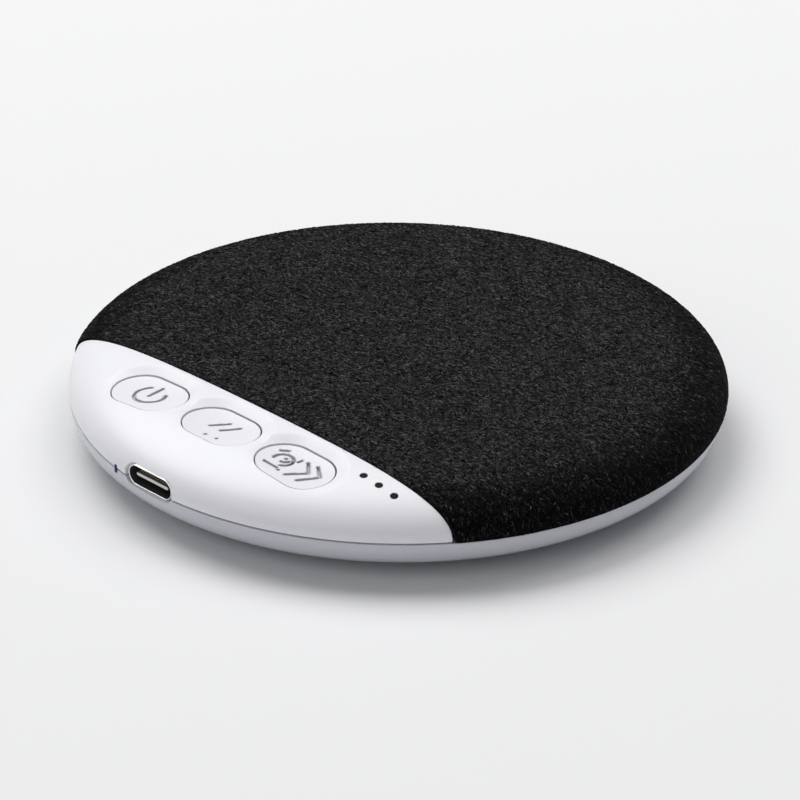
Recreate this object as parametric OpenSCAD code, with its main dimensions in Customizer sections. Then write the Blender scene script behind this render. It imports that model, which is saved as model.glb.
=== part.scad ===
// Pillow speaker: a flat round loudspeaker with a cloth top, a white control panel and a charging port.
// Millimetres, +Z up. The origin is on the disc's axis at the plane its feet rest on. The panel faces -Y.

/* [Housing] */
// Outer diameter of the body, at its widest level
body_d = 96; // [92:1:106]
// Rise of the crown above the widest level
crown_h = 6.3; // [5.8:0.1:8]
// Exponent of the crown's radius, larger keeps it flat further out
crown_flank = 5.6; // [4.6:0.1:7]
// Exponent of the crown's height, larger makes a squarer shoulder
crown_shoulder = 2.3; // [2:0.1:2.8]
// Depth of the lower shell below the widest level
base_h = 6.4; // [6:0.1:8]
// Radius of the flat underside
underside_r = 31; // [28:1:33]
// Exponent of the lower shell's side, larger is squarer
base_round = 2.9; // [2.4:0.1:3.4]
// Wall and floor of the lower shell
shell_wall = 1.6; // [1.3:0.1:1.9]
// Open seam between the halves
seam_gap = 0.25; // [0.15:0.05:0.4]
// Drop of the seam below the body's widest level
seam_drop = 0.45; // [0.2:0.05:0.6]
// Depth of the spigot that centres the upper half in the lower shell
spigot_h = 1; // [0.6:0.1:1.4]
// Thickness of the spigot
spigot_t = 1.05; // [0.8:0.05:1.3]
// Side clearance of the spigot
spigot_gap = 0.35; // [0.25:0.05:0.5]

/* [Cloth top] */
// Depth of the control panel, from the rim to its straight edge
panel_depth = 19.6; // [18.8:0.1:20.6]
// Gap between the panel's straight edge and the cloth
edge_gap = 0.2; // [0.1:0.05:0.4]
// Amount the cloth stands proud of the panel
cloth_proud = 0.3; // [0.1:0.05:0.5]
// Thickness of the cloth
cloth_t = 0.9; // [0.6:0.1:1.2]
// Thickness of the foam under the cloth
foam_t = 1; // [0.6:0.1:1.4]
// Wall of the grille plate
grille_t = 1.4; // [1.1:0.1:1.7]
// Air between stacked layers
layer_gap = 0.05; // [0.03:0.01:0.1]
// Diameter of a grille hole
grille_hole_d = 2.4; // [1.6:0.1:3]
// Spacing of the rings of grille holes
grille_pitch = 4.6; // [4:0.1:5.2]

/* [Control panel] */
// Wall of the control panel
panel_wall = 1.8; // [1.5:0.1:2.1]
// Thickness of the wall along the panel's straight edge
edge_wall = 1.4; // [1:0.1:1.6]
// Length of a button
button_l = 12.3; // [11:0.1:12.8]
// Width of a button
button_w = 8.2; // [7.8:0.1:9]
// Spacing of the buttons
button_pitch = 14.9; // [14.4:0.05:15.6]
// Distance of the button row from the rim
button_inset = 12.8; // [12.2:0.1:13.2]
// Gap round a button
button_gap = 0.15; // [0.1:0.05:0.3]
// Stroke of a button
button_travel = 0.35; // [0.2:0.05:0.5]
// Play between a button's lugs and its guide
button_play = 0.05; // [0.03:0.01:0.1]
// Depth of the dish round a button
dish_depth = 0.3; // [0.15:0.05:0.5]
// Width of the dish round a button
dish_rim = 1; // [0.6:0.1:1.2]
// Side wall of a button cap
cap_wall = 0.9; // [0.7:0.1:1.1]
// Least thickness of a button's top
cap_t = 0.7; // [0.5:0.1:0.9]
// Reach of the lugs that keep a button in its guide
lug_reach = 0.6; // [0.4:0.1:0.8]
// Width of a button's lugs
lug_w = 4.4; // [3:0.2:6]
// Thickness of a button's lugs
lug_t = 0.8; // [0.6:0.1:1]
// Wall of the guide round a button
guide_wall = 0.9; // [0.6:0.1:1]
// Height of the guide's lower end above the body's widest level
guide_rise = 2.05; // [1.8:0.05:2.3]
// Diameter of an indicator hole
light_d = 1.15; // [0.9:0.05:1.4]
// Spacing of the indicator holes
light_pitch = 2.95; // [2.7:0.05:3.1]
// Distance of the last indicator hole from the end of the panel's straight edge
light_end = 8.8; // [8:0.1:9.4]
// Distance of the indicators in front of the panel's straight edge
light_inset = 2.5; // [2.4:0.1:3]
// Depth of the indicator windows below the panel's skin
light_sink = 0.1; // [0.05:0.05:0.4]

/* [Charging port] */
// Place of the port along the panel
port_x = -1.6; // [-2.4:0.1:0]
// Height of the port's centre above the body's widest level
port_rise = 0.4; // [0.2:0.1:0.8]
// Gap beside and behind the socket in its cut-out
port_side = 0.5; // [0.3:0.02:0.6]
// Gap above and below the socket in its cut-out
port_margin = 0.06; // [0.05:0.01:0.2]
// Depth of the socket's face behind the rim
port_recess = 0.6; // [0.5:0.1:1.2]
// Width of the socket's metal shell
socket_w = 8.94; // [8.9:0.01:9]
// Height of the socket's metal shell
socket_h = 3.26; // [3.2:0.01:3.3]
// Length of the socket's metal shell
socket_l = 6.4; // [6:0.1:6.6]
// Sheet of the socket's metal shell
socket_wall = 0.3; // [0.2:0.05:0.4]
// Width of the socket's tongue
tongue_w = 6.7; // [6.5:0.05:6.8]
// Thickness of the socket's tongue
tongue_t = 0.7; // [0.6:0.05:0.8]
// Place of the charge light along the panel
charge_x = -9; // [-9.4:0.05:-8.4]
// Width of the charge light
charge_w = 0.6; // [0.4:0.05:0.8]
// Height of the charge light
charge_h = 1.25; // [1:0.05:1.5]

/* [Electronics] */
// Thickness of the circuit board
board_t = 1; // [0.8:0.1:1.6]
// Gap between the circuit board and the seam's spigot
board_gap = 1; // [0.6:0.1:1.4]
// Side of a switch body
switch_w = 4.6; // [4.2:0.1:5]
// Height of a switch body
switch_h = 3.3; // [2.9:0.1:3.5]
// Diameter of a switch plunger
plunger_d = 2.4; // [2:0.1:2.8]
// Clearance round a switch plunger
plunger_gap = 0.1; // [0.05:0.01:0.15]
// Length of the battery cell
battery_l = 34; // [30:1:36]
// Width of the battery cell
battery_w = 16; // [14:0.5:17]
// Thickness of the battery cell
battery_t = 5; // [4:0.1:5.2]
// Thickness of the battery's adhesive pad
pad_t = 0.2; // [0.1:0.05:0.4]
// Diameter of a lead
lead_d = 0.9; // [0.7:0.1:1]

/* [Speaker driver] */
// Outer diameter of the driver's frame
driver_d = 40; // [38:0.5:42]
// Depth of the driver below its flange
driver_depth = 4.4; // [4.4:0.1:5]
// Gap between the driver and the floor
driver_lift = 0.3; // [0.2:0.05:0.5]
// Sheet of the driver's frame
frame_t = 0.7; // [0.6:0.05:0.8]
// Thickness of the driver's gasket
gasket_t = 0.8; // [0.6:0.1:1]
// Diameter of the magnet
magnet_d = 13.2; // [12.4:0.1:13.4]
// Thickness of the magnet
magnet_t = 1.5; // [1.3:0.1:1.6]
// Sheet of the magnet's yoke and top plate
yoke_t = 0.8; // [0.7:0.05:0.9]
// Inner diameter of the voice coil
coil_d = 14.4; // [14.3:0.1:14.6]
// Thickness of the voice coil's winding
coil_t = 0.35; // [0.25:0.05:0.45]
// Sheet of the diaphragm
cone_t = 0.3; // [0.2:0.05:0.35]
// Stroke of the diaphragm to each side of rest
cone_travel = 0.5; // [0.3:0.05:0.6]

/* [Fasteners and feet] */
// Diameter of a screw
screw_d = 2; // [1.8:0.1:2.2]
// Diameter of a screw's head
head_d = 3.6; // [3.3:0.1:3.8]
// Height of a screw's head
head_h = 1.2; // [1:0.1:1.3]
// Clearance of a screw in its thread
thread_gap = 0.03; // [0.02:0.01:0.05]
// Clearance of a screw through a hole
hole_gap = 0.15; // [0.1:0.05:0.25]
// Wall of a screw boss
boss_wall = 0.85; // [0.7:0.05:1]
// Diameter of a foot
foot_d = 9; // [8:0.5:10]
// Thickness of a foot
foot_t = 1.4; // [1.2:0.1:1.6]
// Height the feet stand below the underside
foot_h = 0.8; // [0.6:0.1:1]

/* [Hidden] */
$fn = 96;

// Steps along the curved profiles of the shells
crown_steps = 24;
base_steps = 14;
least_step = 0.05;
// Length that carries a cut past the face it opens
past = 1;

// Levels of the housing
body_r = body_d / 2;
panel_edge = body_r - panel_depth;
z_wide = foot_h + base_h;
z_seam = z_wide - seam_drop;
seam_top = seam_gap - seam_drop;
z_floor = foot_h + shell_wall;
far = body_d;

// Crown of each layer of the top
cloth_r = body_r + cloth_proud;
cloth_rise = crown_h + cloth_proud;
cloth_edge = panel_edge - edge_gap;
foam_r = cloth_r - cloth_t - layer_gap;
foam_rise = cloth_rise - cloth_t - layer_gap;
foam_edge = cloth_edge - cloth_t - layer_gap;
grille_r = foam_r - foam_t - layer_gap;
grille_rise = foam_rise - foam_t - layer_gap;
grille_edge = foam_edge - foam_t - layer_gap;
foam_hem = 2;
spigot_r = body_r - shell_wall - spigot_gap;

// Levels and places of the socket and the circuit board
z_port = z_wide + port_rise;
z_board = z_port - socket_h / 2;
socket_y = port_recess - sqrt(pow(body_r, 2) - pow(port_x, 2));
board_r = spigot_r - spigot_t - board_gap;
board_setback = 0.8;
board_rear = -panel_edge - board_setback;
tongue_block_l = 1.4;
tongue_setback = 0.5;
charge_y = -sqrt(pow(body_r, 2) - pow(charge_x, 2));
charge_led_size = [1.6, 1, 1.3];
charge_led_inset = 0.3;
charge_led_y = charge_led_inset - sqrt(pow(board_r, 2) - pow(charge_x, 2));
charge_light_sink = 0.1;
charge_light_gap = 0.1;

// Button row: its places, and the levels of its lugs, caps and plungers
buttons = [-1, 0, 1];
button_y = button_inset - body_r;
button_end = (button_l - button_w) / 2;
button_reach = norm([button_pitch + button_end, button_y]) + button_w / 2;
z_guide = z_wide + guide_rise;
z_lug = z_guide - button_play - lug_t;
z_ceiling = z_wide + crown_z(button_reach, body_r, crown_h) - dish_depth - cap_t;
press_pad_h = 0.3;
press_pad_d = 2.8;
z_plunger = z_ceiling - press_pad_h;
z_switch = z_board + switch_h;
plunger_root = 1;

// Indicator lights
lights = [0, 1, 2];
light_x = sqrt(pow(body_r, 2) - pow(panel_edge, 2)) - light_end - 2 * light_pitch;
light_y = -panel_edge - light_inset;
guide_bar_w = 1.6;
guide_bar_h = 0.8;
guide_bar_end = 0.8;
guide_far = norm([light_x + 2 * light_pitch + guide_bar_end, light_y - guide_bar_w / 2]);
guide_room = 0.2;
z_guide_bar = z_wide + crown_z(guide_far, body_r - panel_wall, crown_h - panel_wall) - guide_room;
led = [1.6, 0.8, 0.6];
z_guide_foot = z_board + led[2] + guide_room;

// Battery behind the board, driver behind the battery
battery_room = 1;
battery_front = board_rear + battery_room;
battery_rear = battery_front + battery_w;
battery_y = (battery_front + battery_rear) / 2;
battery_r = 2;
z_battery = z_floor + pad_t;
driver_r = driver_d / 2;
seat_t = 2.6;
press_ring_t = 2;
side_room = 0.5;
seat_r = driver_r + side_room;
driver_room = 0.8;
driver_y = battery_rear + driver_room + seat_r;

// Levels and radii inside the driver
z_yoke = z_floor + driver_lift;
z_frame = z_yoke + driver_depth;
flange_t = 0.8;
z_flange_top = z_frame + flange_t;
z_gasket = z_flange_top + gasket_t;
z_plate = z_yoke + yoke_t + magnet_t;
plate_overhang = 0.2;
plate_d = magnet_d + 2 * plate_overhang;
coil_gap = 0.65;
yoke_r = coil_d / 2 + coil_t + coil_gap + yoke_t;
coil_room = 0.2;
coil_foot = z_yoke + yoke_t + cone_travel + coil_room;
coil_top = z_plate + yoke_t + cone_travel + coil_room;
cone_inner = coil_d / 2;
flange_w = 3;
flange_inner = driver_r - flange_w;
basket_lean = 0.6;
basket_r = flange_inner - basket_lean;
basket_depth = 2.7;
roll_w = 2.8;
roll_r = roll_w / 2;
cone_outer = flange_inner - roll_w;
roll_mid = cone_outer + roll_r;
vent_r = 2.2;
lip_gap = 0.05;
lip_w = 0.9;
ear_angle = -35;
ear_w = 6;
ear_l = 3.5;
ear_reach = driver_r + ear_l;
ear_margin = 0.4;
terminal_t = 0.6;

// Screws: four join the halves under the feet, two hold the board, two hold the panel to the grille
boss_r = head_d / 2 + hole_gap + boss_wall;
post_wall = 1.3;
post_r = screw_d / 2 + post_wall;
shell_screw_rear = (seat_r + side_room + boss_r) / sqrt(2);
shell_screw_at = [
    [shell_screw_rear, driver_y + shell_screw_rear], [-shell_screw_rear, driver_y + shell_screw_rear],
    [battery_l / 2 + side_room + boss_r, battery_y], [-battery_l / 2 - side_room - boss_r, battery_y]
];
head_sink = 0.15;
z_head = foot_t + head_sink;
boss_drop = 0.8;
z_boss = z_wide - boss_drop;
thread_l = 3.5;
shell_screw_l = z_boss + thread_l - z_head - head_h;
pilot_end = 0.3;
board_screw_inset = 2.8;
board_screw_at = [for (side = [-1, 1]) [side * button_pitch / 2, board_rear - board_screw_inset]];
board_screw_l = 2.6;
board_support_at = [for (side = [-1, 1]) [side * 1.5 * button_pitch, board_rear - post_r]];
stop_wall = [24, 1];
stop_gap = 0.4;
tab_w = 6;
tab_t = 1.6;
tab_margin = 2.4;
edge_rise = 1.6;
z_edge_wall = z_wide + edge_rise;
tab_root = 0.4;
z_tab = z_edge_wall + tab_root - tab_t;
tuck_gap = 0.1;
z_tuck = z_tab + tab_t + tuck_gap;
tab_x = battery_l / 2 + 3 * side_room + 2 * boss_r + tab_w / 2;
tab_y = post_r + side_room - grille_edge;
tab_l = panel_edge + tab_y + tab_margin;
panel_screw_l = 3;

// Battery connector on the board
header = [5, 3.4, 1.85];
header_x = tab_w / 2 + side_room + header[0] / 2 - tab_x;
header_inset = 1.4;
header_y = board_rear - header_inset;
plug = [4.4, battery_front - header_y, 1.6];
plug_lift = 0.1;

// Leads run from the cell to its plug, and from the driver's terminals over the cell to the board
lead_gap = 0.1;
cell_exit = [-battery_l / 2 - lead_gap, battery_front, z_battery + 3.6];
plug_rear = [header_x, battery_front + lead_gap, z_board + plug_lift + plug[2] / 2];
battery_red_path = [
    cell_exit + [0, 3.8, 0], cell_exit + [-1.3, 3.8, 0.1], plug_rear + [0.9, 3.1, -0.3],
    plug_rear + [-0.5, 1.9, 0], plug_rear + [-0.8, 0.7, 0], plug_rear + [-0.8, 0, 0]
];
battery_black_path = [
    cell_exit + [0, 2.4, 0], cell_exit + [-1.1, 2.4, 0.1], plug_rear + [1.7, 2.1, -0.3],
    plug_rear + [0.7, 1.4, 0], plug_rear + [0.5, 0.7, 0], plug_rear + [0.5, 0, 0]
];
ear_mid = (driver_r + ear_reach) / 2;
z_terminal = z_flange_top + terminal_t + lead_d;
terminal = [ear_mid * cos(ear_angle), driver_y + ear_mid * sin(ear_angle), z_terminal];
z_over_cell = z_battery + battery_t + lead_d / 2 + lead_gap;
pad_offset = [4.8, -2.2];
pad_at = [button_pitch / 2 + pad_offset[0], board_rear + pad_offset[1], z_board + lead_d / 2 + lead_gap];
speaker_red_path = [
    terminal + [-0.4, -0.4, -0.3], terminal + [-1, -4.6, -0.4], [15.2, battery_rear - 0.8, z_over_cell + 0.3],
    [14, battery_y, z_over_cell], [13, battery_front + 2.2, z_over_cell],
    [12.6, battery_front - 0.8, z_over_cell],
    pad_at + [0.1, 0.8, 0.8], pad_at
];
speaker_black_path = [
    terminal + [1.1, 0.4, -0.3], terminal + [0.5, -4.6, -0.4], [16.6, battery_rear - 0.8, z_over_cell + 0.3],
    [15.4, battery_y, z_over_cell], [14.4, battery_front + 2.2, z_over_cell],
    [14, battery_front - 0.8, z_over_cell],
    pad_at + [1.5, 0.8, 0.8], pad_at + [1.4, 0, 0]
];
lead_sides = 8;
lead_steps = 4;

// Height of a crown over the widest level at radius r
function crown_z(r, rim, rise) = rise * pow(1 - pow(r / rim, crown_flank), 1 / crown_shoulder);

// Radius of a crown at a height over the widest level
function crown_r(z, rim, rise) = rim * pow(1 - pow(max(z, 0) / rise, crown_shoulder), 1 / crown_flank);

// Smooth curve through hand-chosen points
function spline(a, b, c, d, t) =
    b + t / 2 * (c - a + t * (2 * a - 5 * b + 4 * c - d + t * (3 * (b - c) + d - a)));
function route(p) = [
    for (i = [0 : len(p) - 2], s = [0 : lead_steps - 1])
        spline(p[max(i - 1, 0)], p[i], p[i + 1], p[min(i + 2, len(p) - 1)], s / lead_steps),
    p[len(p) - 1]
];
function unit(v) = v / norm(v);

// Solid under a crown, from base over the widest level to its top
module dome(rim, rise, base) {
    arc = [
        for (i = [0 : crown_steps])
            let (t = 90 - 90 * i / crown_steps)
            [rim * pow(sin(t), 2 / crown_flank), rise * pow(cos(t), 2 / crown_shoulder)]
    ];
    foot = [[0, base], [crown_r(base, rim, rise), base]];
    translate([0, 0, z_wide])
        rotate_extrude()
            polygon(concat(foot, [for (p = arc) if (p[1] > base + least_step) p]));
}

// Solid of the lower shell's form, with its rim carried up by top
module bowl(rim, depth, top) {
    bend = 2 / base_round;
    arc = [
        for (i = [0 : base_steps])
            let (t = 90 * i / base_steps)
            [underside_r + (rim - underside_r) * pow(cos(t), bend), -depth * pow(sin(t), bend)]
    ];
    side = [for (p = arc) if (p[1] < top - least_step) p];
    translate([0, 0, z_wide])
        rotate_extrude()
            polygon(concat([[0, top], [rim, top]], side, [[0, -depth]]));
}

// Everything in front of, or behind, a line parallel to the panel's straight edge
module in_front(edge) {
    translate([-far, -edge - 2 * far, -far]) cube([2 * far, 2 * far, 2 * far]);
}

module behind(edge) {
    translate([-far, -edge, -far]) cube([2 * far, 2 * far, 2 * far]);
}

module stadium(l, w) {
    square([l - w, w], center = true);
    for (side = [-1, 1]) translate([side * (l - w) / 2, 0]) circle(d = w);
}

module stadium_post(l, w, z0, z1) {
    translate([0, 0, z0]) linear_extrude(z1 - z0) stadium(l, w);
}

module ring(r0, r1, z0, z1) {
    translate([0, 0, z0])
        difference() {
            cylinder(r = r1, h = z1 - z0);
            translate([0, 0, -past]) cylinder(r = r0, h = z1 - z0 + 2 * past);
        }
}

module post(at, r, z0, z1) {
    translate([at[0], at[1], z0]) cylinder(r = r, h = z1 - z0);
}

module block(at, size) {
    translate([at[0] - size[0] / 2, at[1] - size[1] / 2, at[2]]) cube(size);
}

// Cut-outs at the rim for the socket and the charge light
module rim_cuts() {
    translate([port_x, socket_y + socket_l + port_side, z_port])
        rotate([90, 0, 0])
            linear_extrude(far) stadium(socket_w + 2 * port_side, socket_h + 2 * port_margin);
    translate([charge_x, -far, z_seam])
        translate([-charge_w / 2 - layer_gap, 0, -charge_h / 2 - layer_gap])
            cube([charge_w + 2 * layer_gap, far + charge_led_y, charge_h + 2 * layer_gap]);
}

// White dish below the seam, with the driver's seat, the screw bosses and the board's posts
module lower_shell() color("white") {
    difference() {
        union() {
            difference() {
                bowl(body_r, base_h, -seam_drop);
                bowl(body_r - shell_wall, base_h - shell_wall, past);
            }
            intersection() {
                bowl(body_r - shell_wall / 2, base_h - shell_wall / 2, base_h);
                union() {
                    translate([0, driver_y, 0]) ring(seat_r - seat_t, seat_r, 0, z_frame);
                    for (at = shell_screw_at) post(at, boss_r, 0, z_boss);
                    for (at = board_screw_at) post(at, post_r, 0, z_board - board_t);
                    for (at = board_support_at) post(at, post_r, 0, z_board - board_t);
                    block(
                        [0, battery_front - stop_gap - stop_wall[1] / 2, 0],
                        [stop_wall[0], stop_wall[1], z_board - board_t - stop_gap]
                    );
                }
            }
        }
        for (at = shell_screw_at) {
            post(at, foot_d / 2 + layer_gap, -past, foot_t);
            post(at, head_d / 2 + hole_gap, 0, z_head + head_h);
            post(at, screw_d / 2 + hole_gap, 0, z_boss + past);
        }
        for (at = board_screw_at)
            post(at, screw_d / 2 + thread_gap, z_board - board_screw_l - pilot_end, z_board);
        rim_cuts();
    }
}

// Rubber feet pressed over the screws of the underside
module feet() color("dimgray") {
    for (at = shell_screw_at) post(at, foot_d / 2, 0, foot_t);
}

// White segment with the button guides, the indicator holes and two tabs that reach under the grille
module control_panel() color("white") {
    difference() {
        union() {
            intersection() {
                in_front(panel_edge);
                union() {
                    difference() {
                        dome(body_r, crown_h, seam_top);
                        dome(body_r - panel_wall, crown_h - panel_wall, seam_top - past);
                    }
                    intersection() {
                        dome(body_r - panel_wall / 2, crown_h - panel_wall / 2, -seam_drop - spigot_h);
                        union() {
                            translate([-far, -panel_edge - edge_wall, z_edge_wall]) cube([2 * far, far, far]);
                            for (i = buttons)
                                translate([i * button_pitch, button_y, 0]) button_guide();
                            translate([0, 0, z_seam]) panel_spigot();
                        }
                    }
                }
            }
            for (side = [-1, 1])
                translate([side * tab_x - tab_w / 2, -panel_edge - edge_wall, z_tab])
                    cube([tab_w, edge_wall + tab_l, tab_t]);
        }
        for (i = buttons)
            translate([i * button_pitch, button_y, 0])
                stadium_post(button_l + 2 * button_gap, button_w + 2 * button_gap, 0, far);
        difference() {
            for (i = buttons)
                translate([i * button_pitch, button_y, 0])
                    stadium_post(button_l + 2 * dish_rim, button_w + 2 * dish_rim, z_wide, far);
            dome(body_r, crown_h - dish_depth, -past);
        }
        for (i = lights) post([light_x + i * light_pitch, light_y], light_d / 2, z_wide, far);
        for (side = [-1, 1]) post([side * tab_x, tab_y], screw_d / 2 + hole_gap, 0, z_tuck);
        rim_cuts();
    }
}

module button_guide() {
    outer = 2 * (button_gap + guide_wall);
    stadium_post(button_l + outer, button_w + outer, z_guide, far);
}

module panel_spigot() {
    ring(spigot_r - spigot_t, spigot_r, -spigot_h, seam_gap + past);
    ring(spigot_r - spigot_t, body_r - panel_wall / 2, seam_gap, seam_gap + past);
}

// One layer of the top: a crown with a straight wall along the panel, open below that wall
module layer(rim, rise, edge, t, base) {
    half_chord = sqrt(pow(rim, 2) - pow(edge, 2));
    difference() {
        intersection() {
            dome(rim, rise, base);
            behind(edge);
        }
        intersection() {
            dome(rim - t, rise - t, base - past);
            behind(edge - t);
        }
        translate([-half_chord + 4 * t, -edge - past, 0])
            cube([2 * half_chord - 8 * t, t + 2 * past, z_tuck]);
    }
}

// Black plate under the cloth, pierced over the driver, with screw posts and a ring that holds the driver
module grille_plate() color("dimgray") {
    difference() {
        union() {
            layer(grille_r, grille_rise, grille_edge, grille_t, seam_top);
            intersection() {
                dome(grille_r - grille_t / 2, grille_rise - grille_t / 2, -base_h);
                union() {
                    for (at = shell_screw_at) post(at, post_r, z_boss + layer_gap, far);
                    for (side = [-1, 1]) post([side * tab_x, tab_y], post_r, z_tuck, far);
                    translate([0, driver_y, 0])
                        ring(driver_r - press_ring_t, driver_r, z_gasket + layer_gap, far);
                }
            }
            intersection() {
                behind(grille_edge);
                translate([0, 0, z_seam]) ring(spigot_r - spigot_t, spigot_r, -spigot_h, seam_gap + past);
            }
        }
        for (at = shell_screw_at)
            post(at, screw_d / 2 + thread_gap, 0, z_head + head_h + shell_screw_l + pilot_end);
        for (side = [-1, 1])
            post([side * tab_x, tab_y], screw_d / 2 + thread_gap, 0, z_tab + panel_screw_l + pilot_end);
        translate([0, driver_y, z_gasket]) grille_holes();
    }
}

module grille_holes() {
    cylinder(d = grille_hole_d, h = far);
    for (turn = [1 : 3], i = [0 : 6 * turn - 1])
        rotate(60 * i / turn)
            translate([turn * grille_pitch, 0, 0])
                cylinder(d = grille_hole_d, h = far);
}

// Thin foam that softens the top
module foam_pad() color("gray") {
    layer(foam_r, foam_rise, foam_edge, foam_t, foam_hem);
}

// Felt drawn over the foam and tucked behind the panel's straight edge
module fabric_cover() color("#2a2b2c") {
    layer(cloth_r, cloth_rise, cloth_edge, cloth_t, seam_top);
}

// Button cap: a cup that follows the panel's crown, with two lugs below its guide and a pad over the switch
module button_cap(i) color("whitesmoke") {
    at = [i * button_pitch, button_y, 0];
    difference() {
        union() {
            intersection() {
                translate(at) stadium_post(button_l, button_w, z_lug, far);
                dome(body_r, crown_h - dish_depth, -past);
            }
            translate(at)
                intersection() {
                    stadium_post(button_l + 2 * lug_reach, button_w + 2 * lug_reach, z_lug, z_lug + lug_t);
                    block([0, 0, z_lug], [far, lug_w, lug_t]);
                }
        }
        translate(at)
            stadium_post(button_l - 2 * cap_wall, button_w - 2 * cap_wall, z_lug - past, z_ceiling);
    }
    post(at, press_pad_d / 2, z_plunger + layer_gap, z_ceiling + cap_t / 2);
}

module power_button() button_cap(-1);

module sound_button() button_cap(0);

module timer_button() button_cap(1);

// Tact switch body, bored for its plunger
module switch_body(i) color("#303030") {
    at = [i * button_pitch, button_y];
    difference() {
        block([at[0], at[1], z_board], [switch_w, switch_w, switch_h]);
        post(at, plunger_d / 2 + plunger_gap, z_switch - plunger_root - 2 * button_travel, z_switch + past);
    }
}

module power_switch() switch_body(-1);

module sound_switch() switch_body(0);

module timer_switch() switch_body(1);

module switch_plunger(i) color("ivory") {
    post([i * button_pitch, button_y], plunger_d / 2, z_switch - plunger_root, z_plunger);
}

module power_plunger() switch_plunger(-1);

module sound_plunger() switch_plunger(0);

module timer_plunger() switch_plunger(1);

// Circuit board under the panel
module circuit_board() color("darkgreen") {
    difference() {
        intersection() {
            post([0, 0], board_r, z_board - board_t, z_board);
            in_front(-board_rear);
        }
        for (at = board_screw_at) post(at, screw_d / 2 + hole_gap, 0, z_wide);
    }
}

// Charging socket: a folded metal shell, a tongue on its block, and the contacts on both faces of the tongue
module socket_shell() color("silver") {
    translate([port_x, socket_y, z_port])
        rotate([-90, 0, 0])
            difference() {
                linear_extrude(socket_l) stadium(socket_w, socket_h);
                translate([0, 0, -past])
                    linear_extrude(socket_l + 2 * past)
                        stadium(socket_w - 2 * socket_wall, socket_h - 2 * socket_wall);
            }
}

module socket_tongue() color("#202020") {
    inner_w = socket_w - 2 * socket_wall - 2 * layer_gap;
    inner_h = socket_h - 2 * socket_wall - 2 * layer_gap;
    translate([port_x, socket_y, z_port]) {
        translate([0, socket_l - tongue_block_l, 0])
            rotate([-90, 0, 0])
                linear_extrude(tongue_block_l) stadium(inner_w, inner_h);
        translate([-tongue_w / 2, tongue_setback, -tongue_t / 2])
            cube([tongue_w, socket_l - tongue_block_l, tongue_t]);
    }
}

module socket_contacts() color("gold") {
    contact_inset = 0.3;
    contact_l = socket_l - tongue_block_l - tongue_setback - 2 * contact_inset;
    contact = [0.25, contact_l, 0.05];
    contact_pitch = 0.5;
    contact_y = socket_y + tongue_setback + contact_inset + contact_l / 2;
    for (i = [0 : 11], z = [tongue_t / 2, -tongue_t / 2 - contact[2]])
        block([port_x + (i - 5.5) * contact_pitch, contact_y, z_port + z], contact);
}

// Three light pipes on one bar, from the LEDs to the holes of the panel
module indicator_guide() color("#3a3030") {
    peg_r = light_d / 2 - layer_gap;
    bar_l = 2 * light_pitch + 2 * guide_bar_end;
    block([light_x + light_pitch, light_y, z_guide_bar - guide_bar_h], [bar_l, guide_bar_w, guide_bar_h]);
    for (i = lights) intersection() {
        post([light_x + i * light_pitch, light_y], peg_r, z_guide_foot, far);
        dome(body_r, crown_h - light_sink, z_guide_foot - z_wide - past);
    }
}

module indicator_leds() color("lightyellow") {
    for (i = lights) block([light_x + i * light_pitch, light_y, z_board], led);
}

module charge_light_pipe() color("navy") {
    front = charge_y + charge_light_sink;
    translate([charge_x - charge_w / 2, front, z_seam - charge_h / 2])
        cube([charge_w, charge_led_y - charge_light_gap - front, charge_h]);
}

module charge_led() color("lightyellow") {
    block([charge_x, charge_led_y + charge_led_size[1] / 2, z_board], charge_led_size);
}

// Chips and capacitors on the board
chip_drop = 1.2;
controller = [5, 5, 0.9];
amplifier = [4, 4, 0.9];
charger = [3, 3, 0.8];
charger_drop = 5.6;
capacitor = [1, 1.6, 0.8];
capacitor_inset = 3;
capacitor_pitch = 1.8;
capacitor_drop = 4.2;

module controller_chip() color("#202020") {
    block([-button_pitch / 2, button_y - chip_drop, z_board], controller);
}

module amplifier_chip() color("#202020") {
    block([button_pitch / 2, button_y - chip_drop, z_board], amplifier);
}

module charger_chip() color("#202020") {
    block([button_pitch / 2 + side_room, button_y - charger_drop, z_board], charger);
}

module capacitors() color("tan") {
    for (side = [-1, 1], i = [0, 1]) {
        x = button_pitch - capacitor_inset + i * capacitor_pitch;
        block([side * x, button_y - capacitor_drop, z_board], capacitor);
    }
}

// Pouch cell on its adhesive pad
module battery_cell() color("lightsteelblue") {
    translate([0, battery_y, z_battery])
        linear_extrude(battery_t) {
            square([battery_l - 2 * battery_r, battery_w], center = true);
            square([battery_l, battery_w - 2 * battery_r], center = true);
            for (sx = [-1, 1], sy = [-1, 1])
                translate([sx * (battery_l / 2 - battery_r), sy * (battery_w / 2 - battery_r)])
                    circle(r = battery_r);
        }
}

module battery_pad() color("khaki") {
    block([0, battery_y, z_floor], [battery_l - 2 * battery_r, battery_w - 2 * battery_r, pad_t]);
}

// Battery connector: a header on the board and the plug that slides into its rear
module battery_header() color("ivory") {
    block([header_x, header_y - header[1] / 2 - layer_gap, z_board], header);
}

module battery_plug() color("white") {
    block([header_x, header_y + plug[1] / 2, z_board + plug_lift], plug);
}

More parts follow.
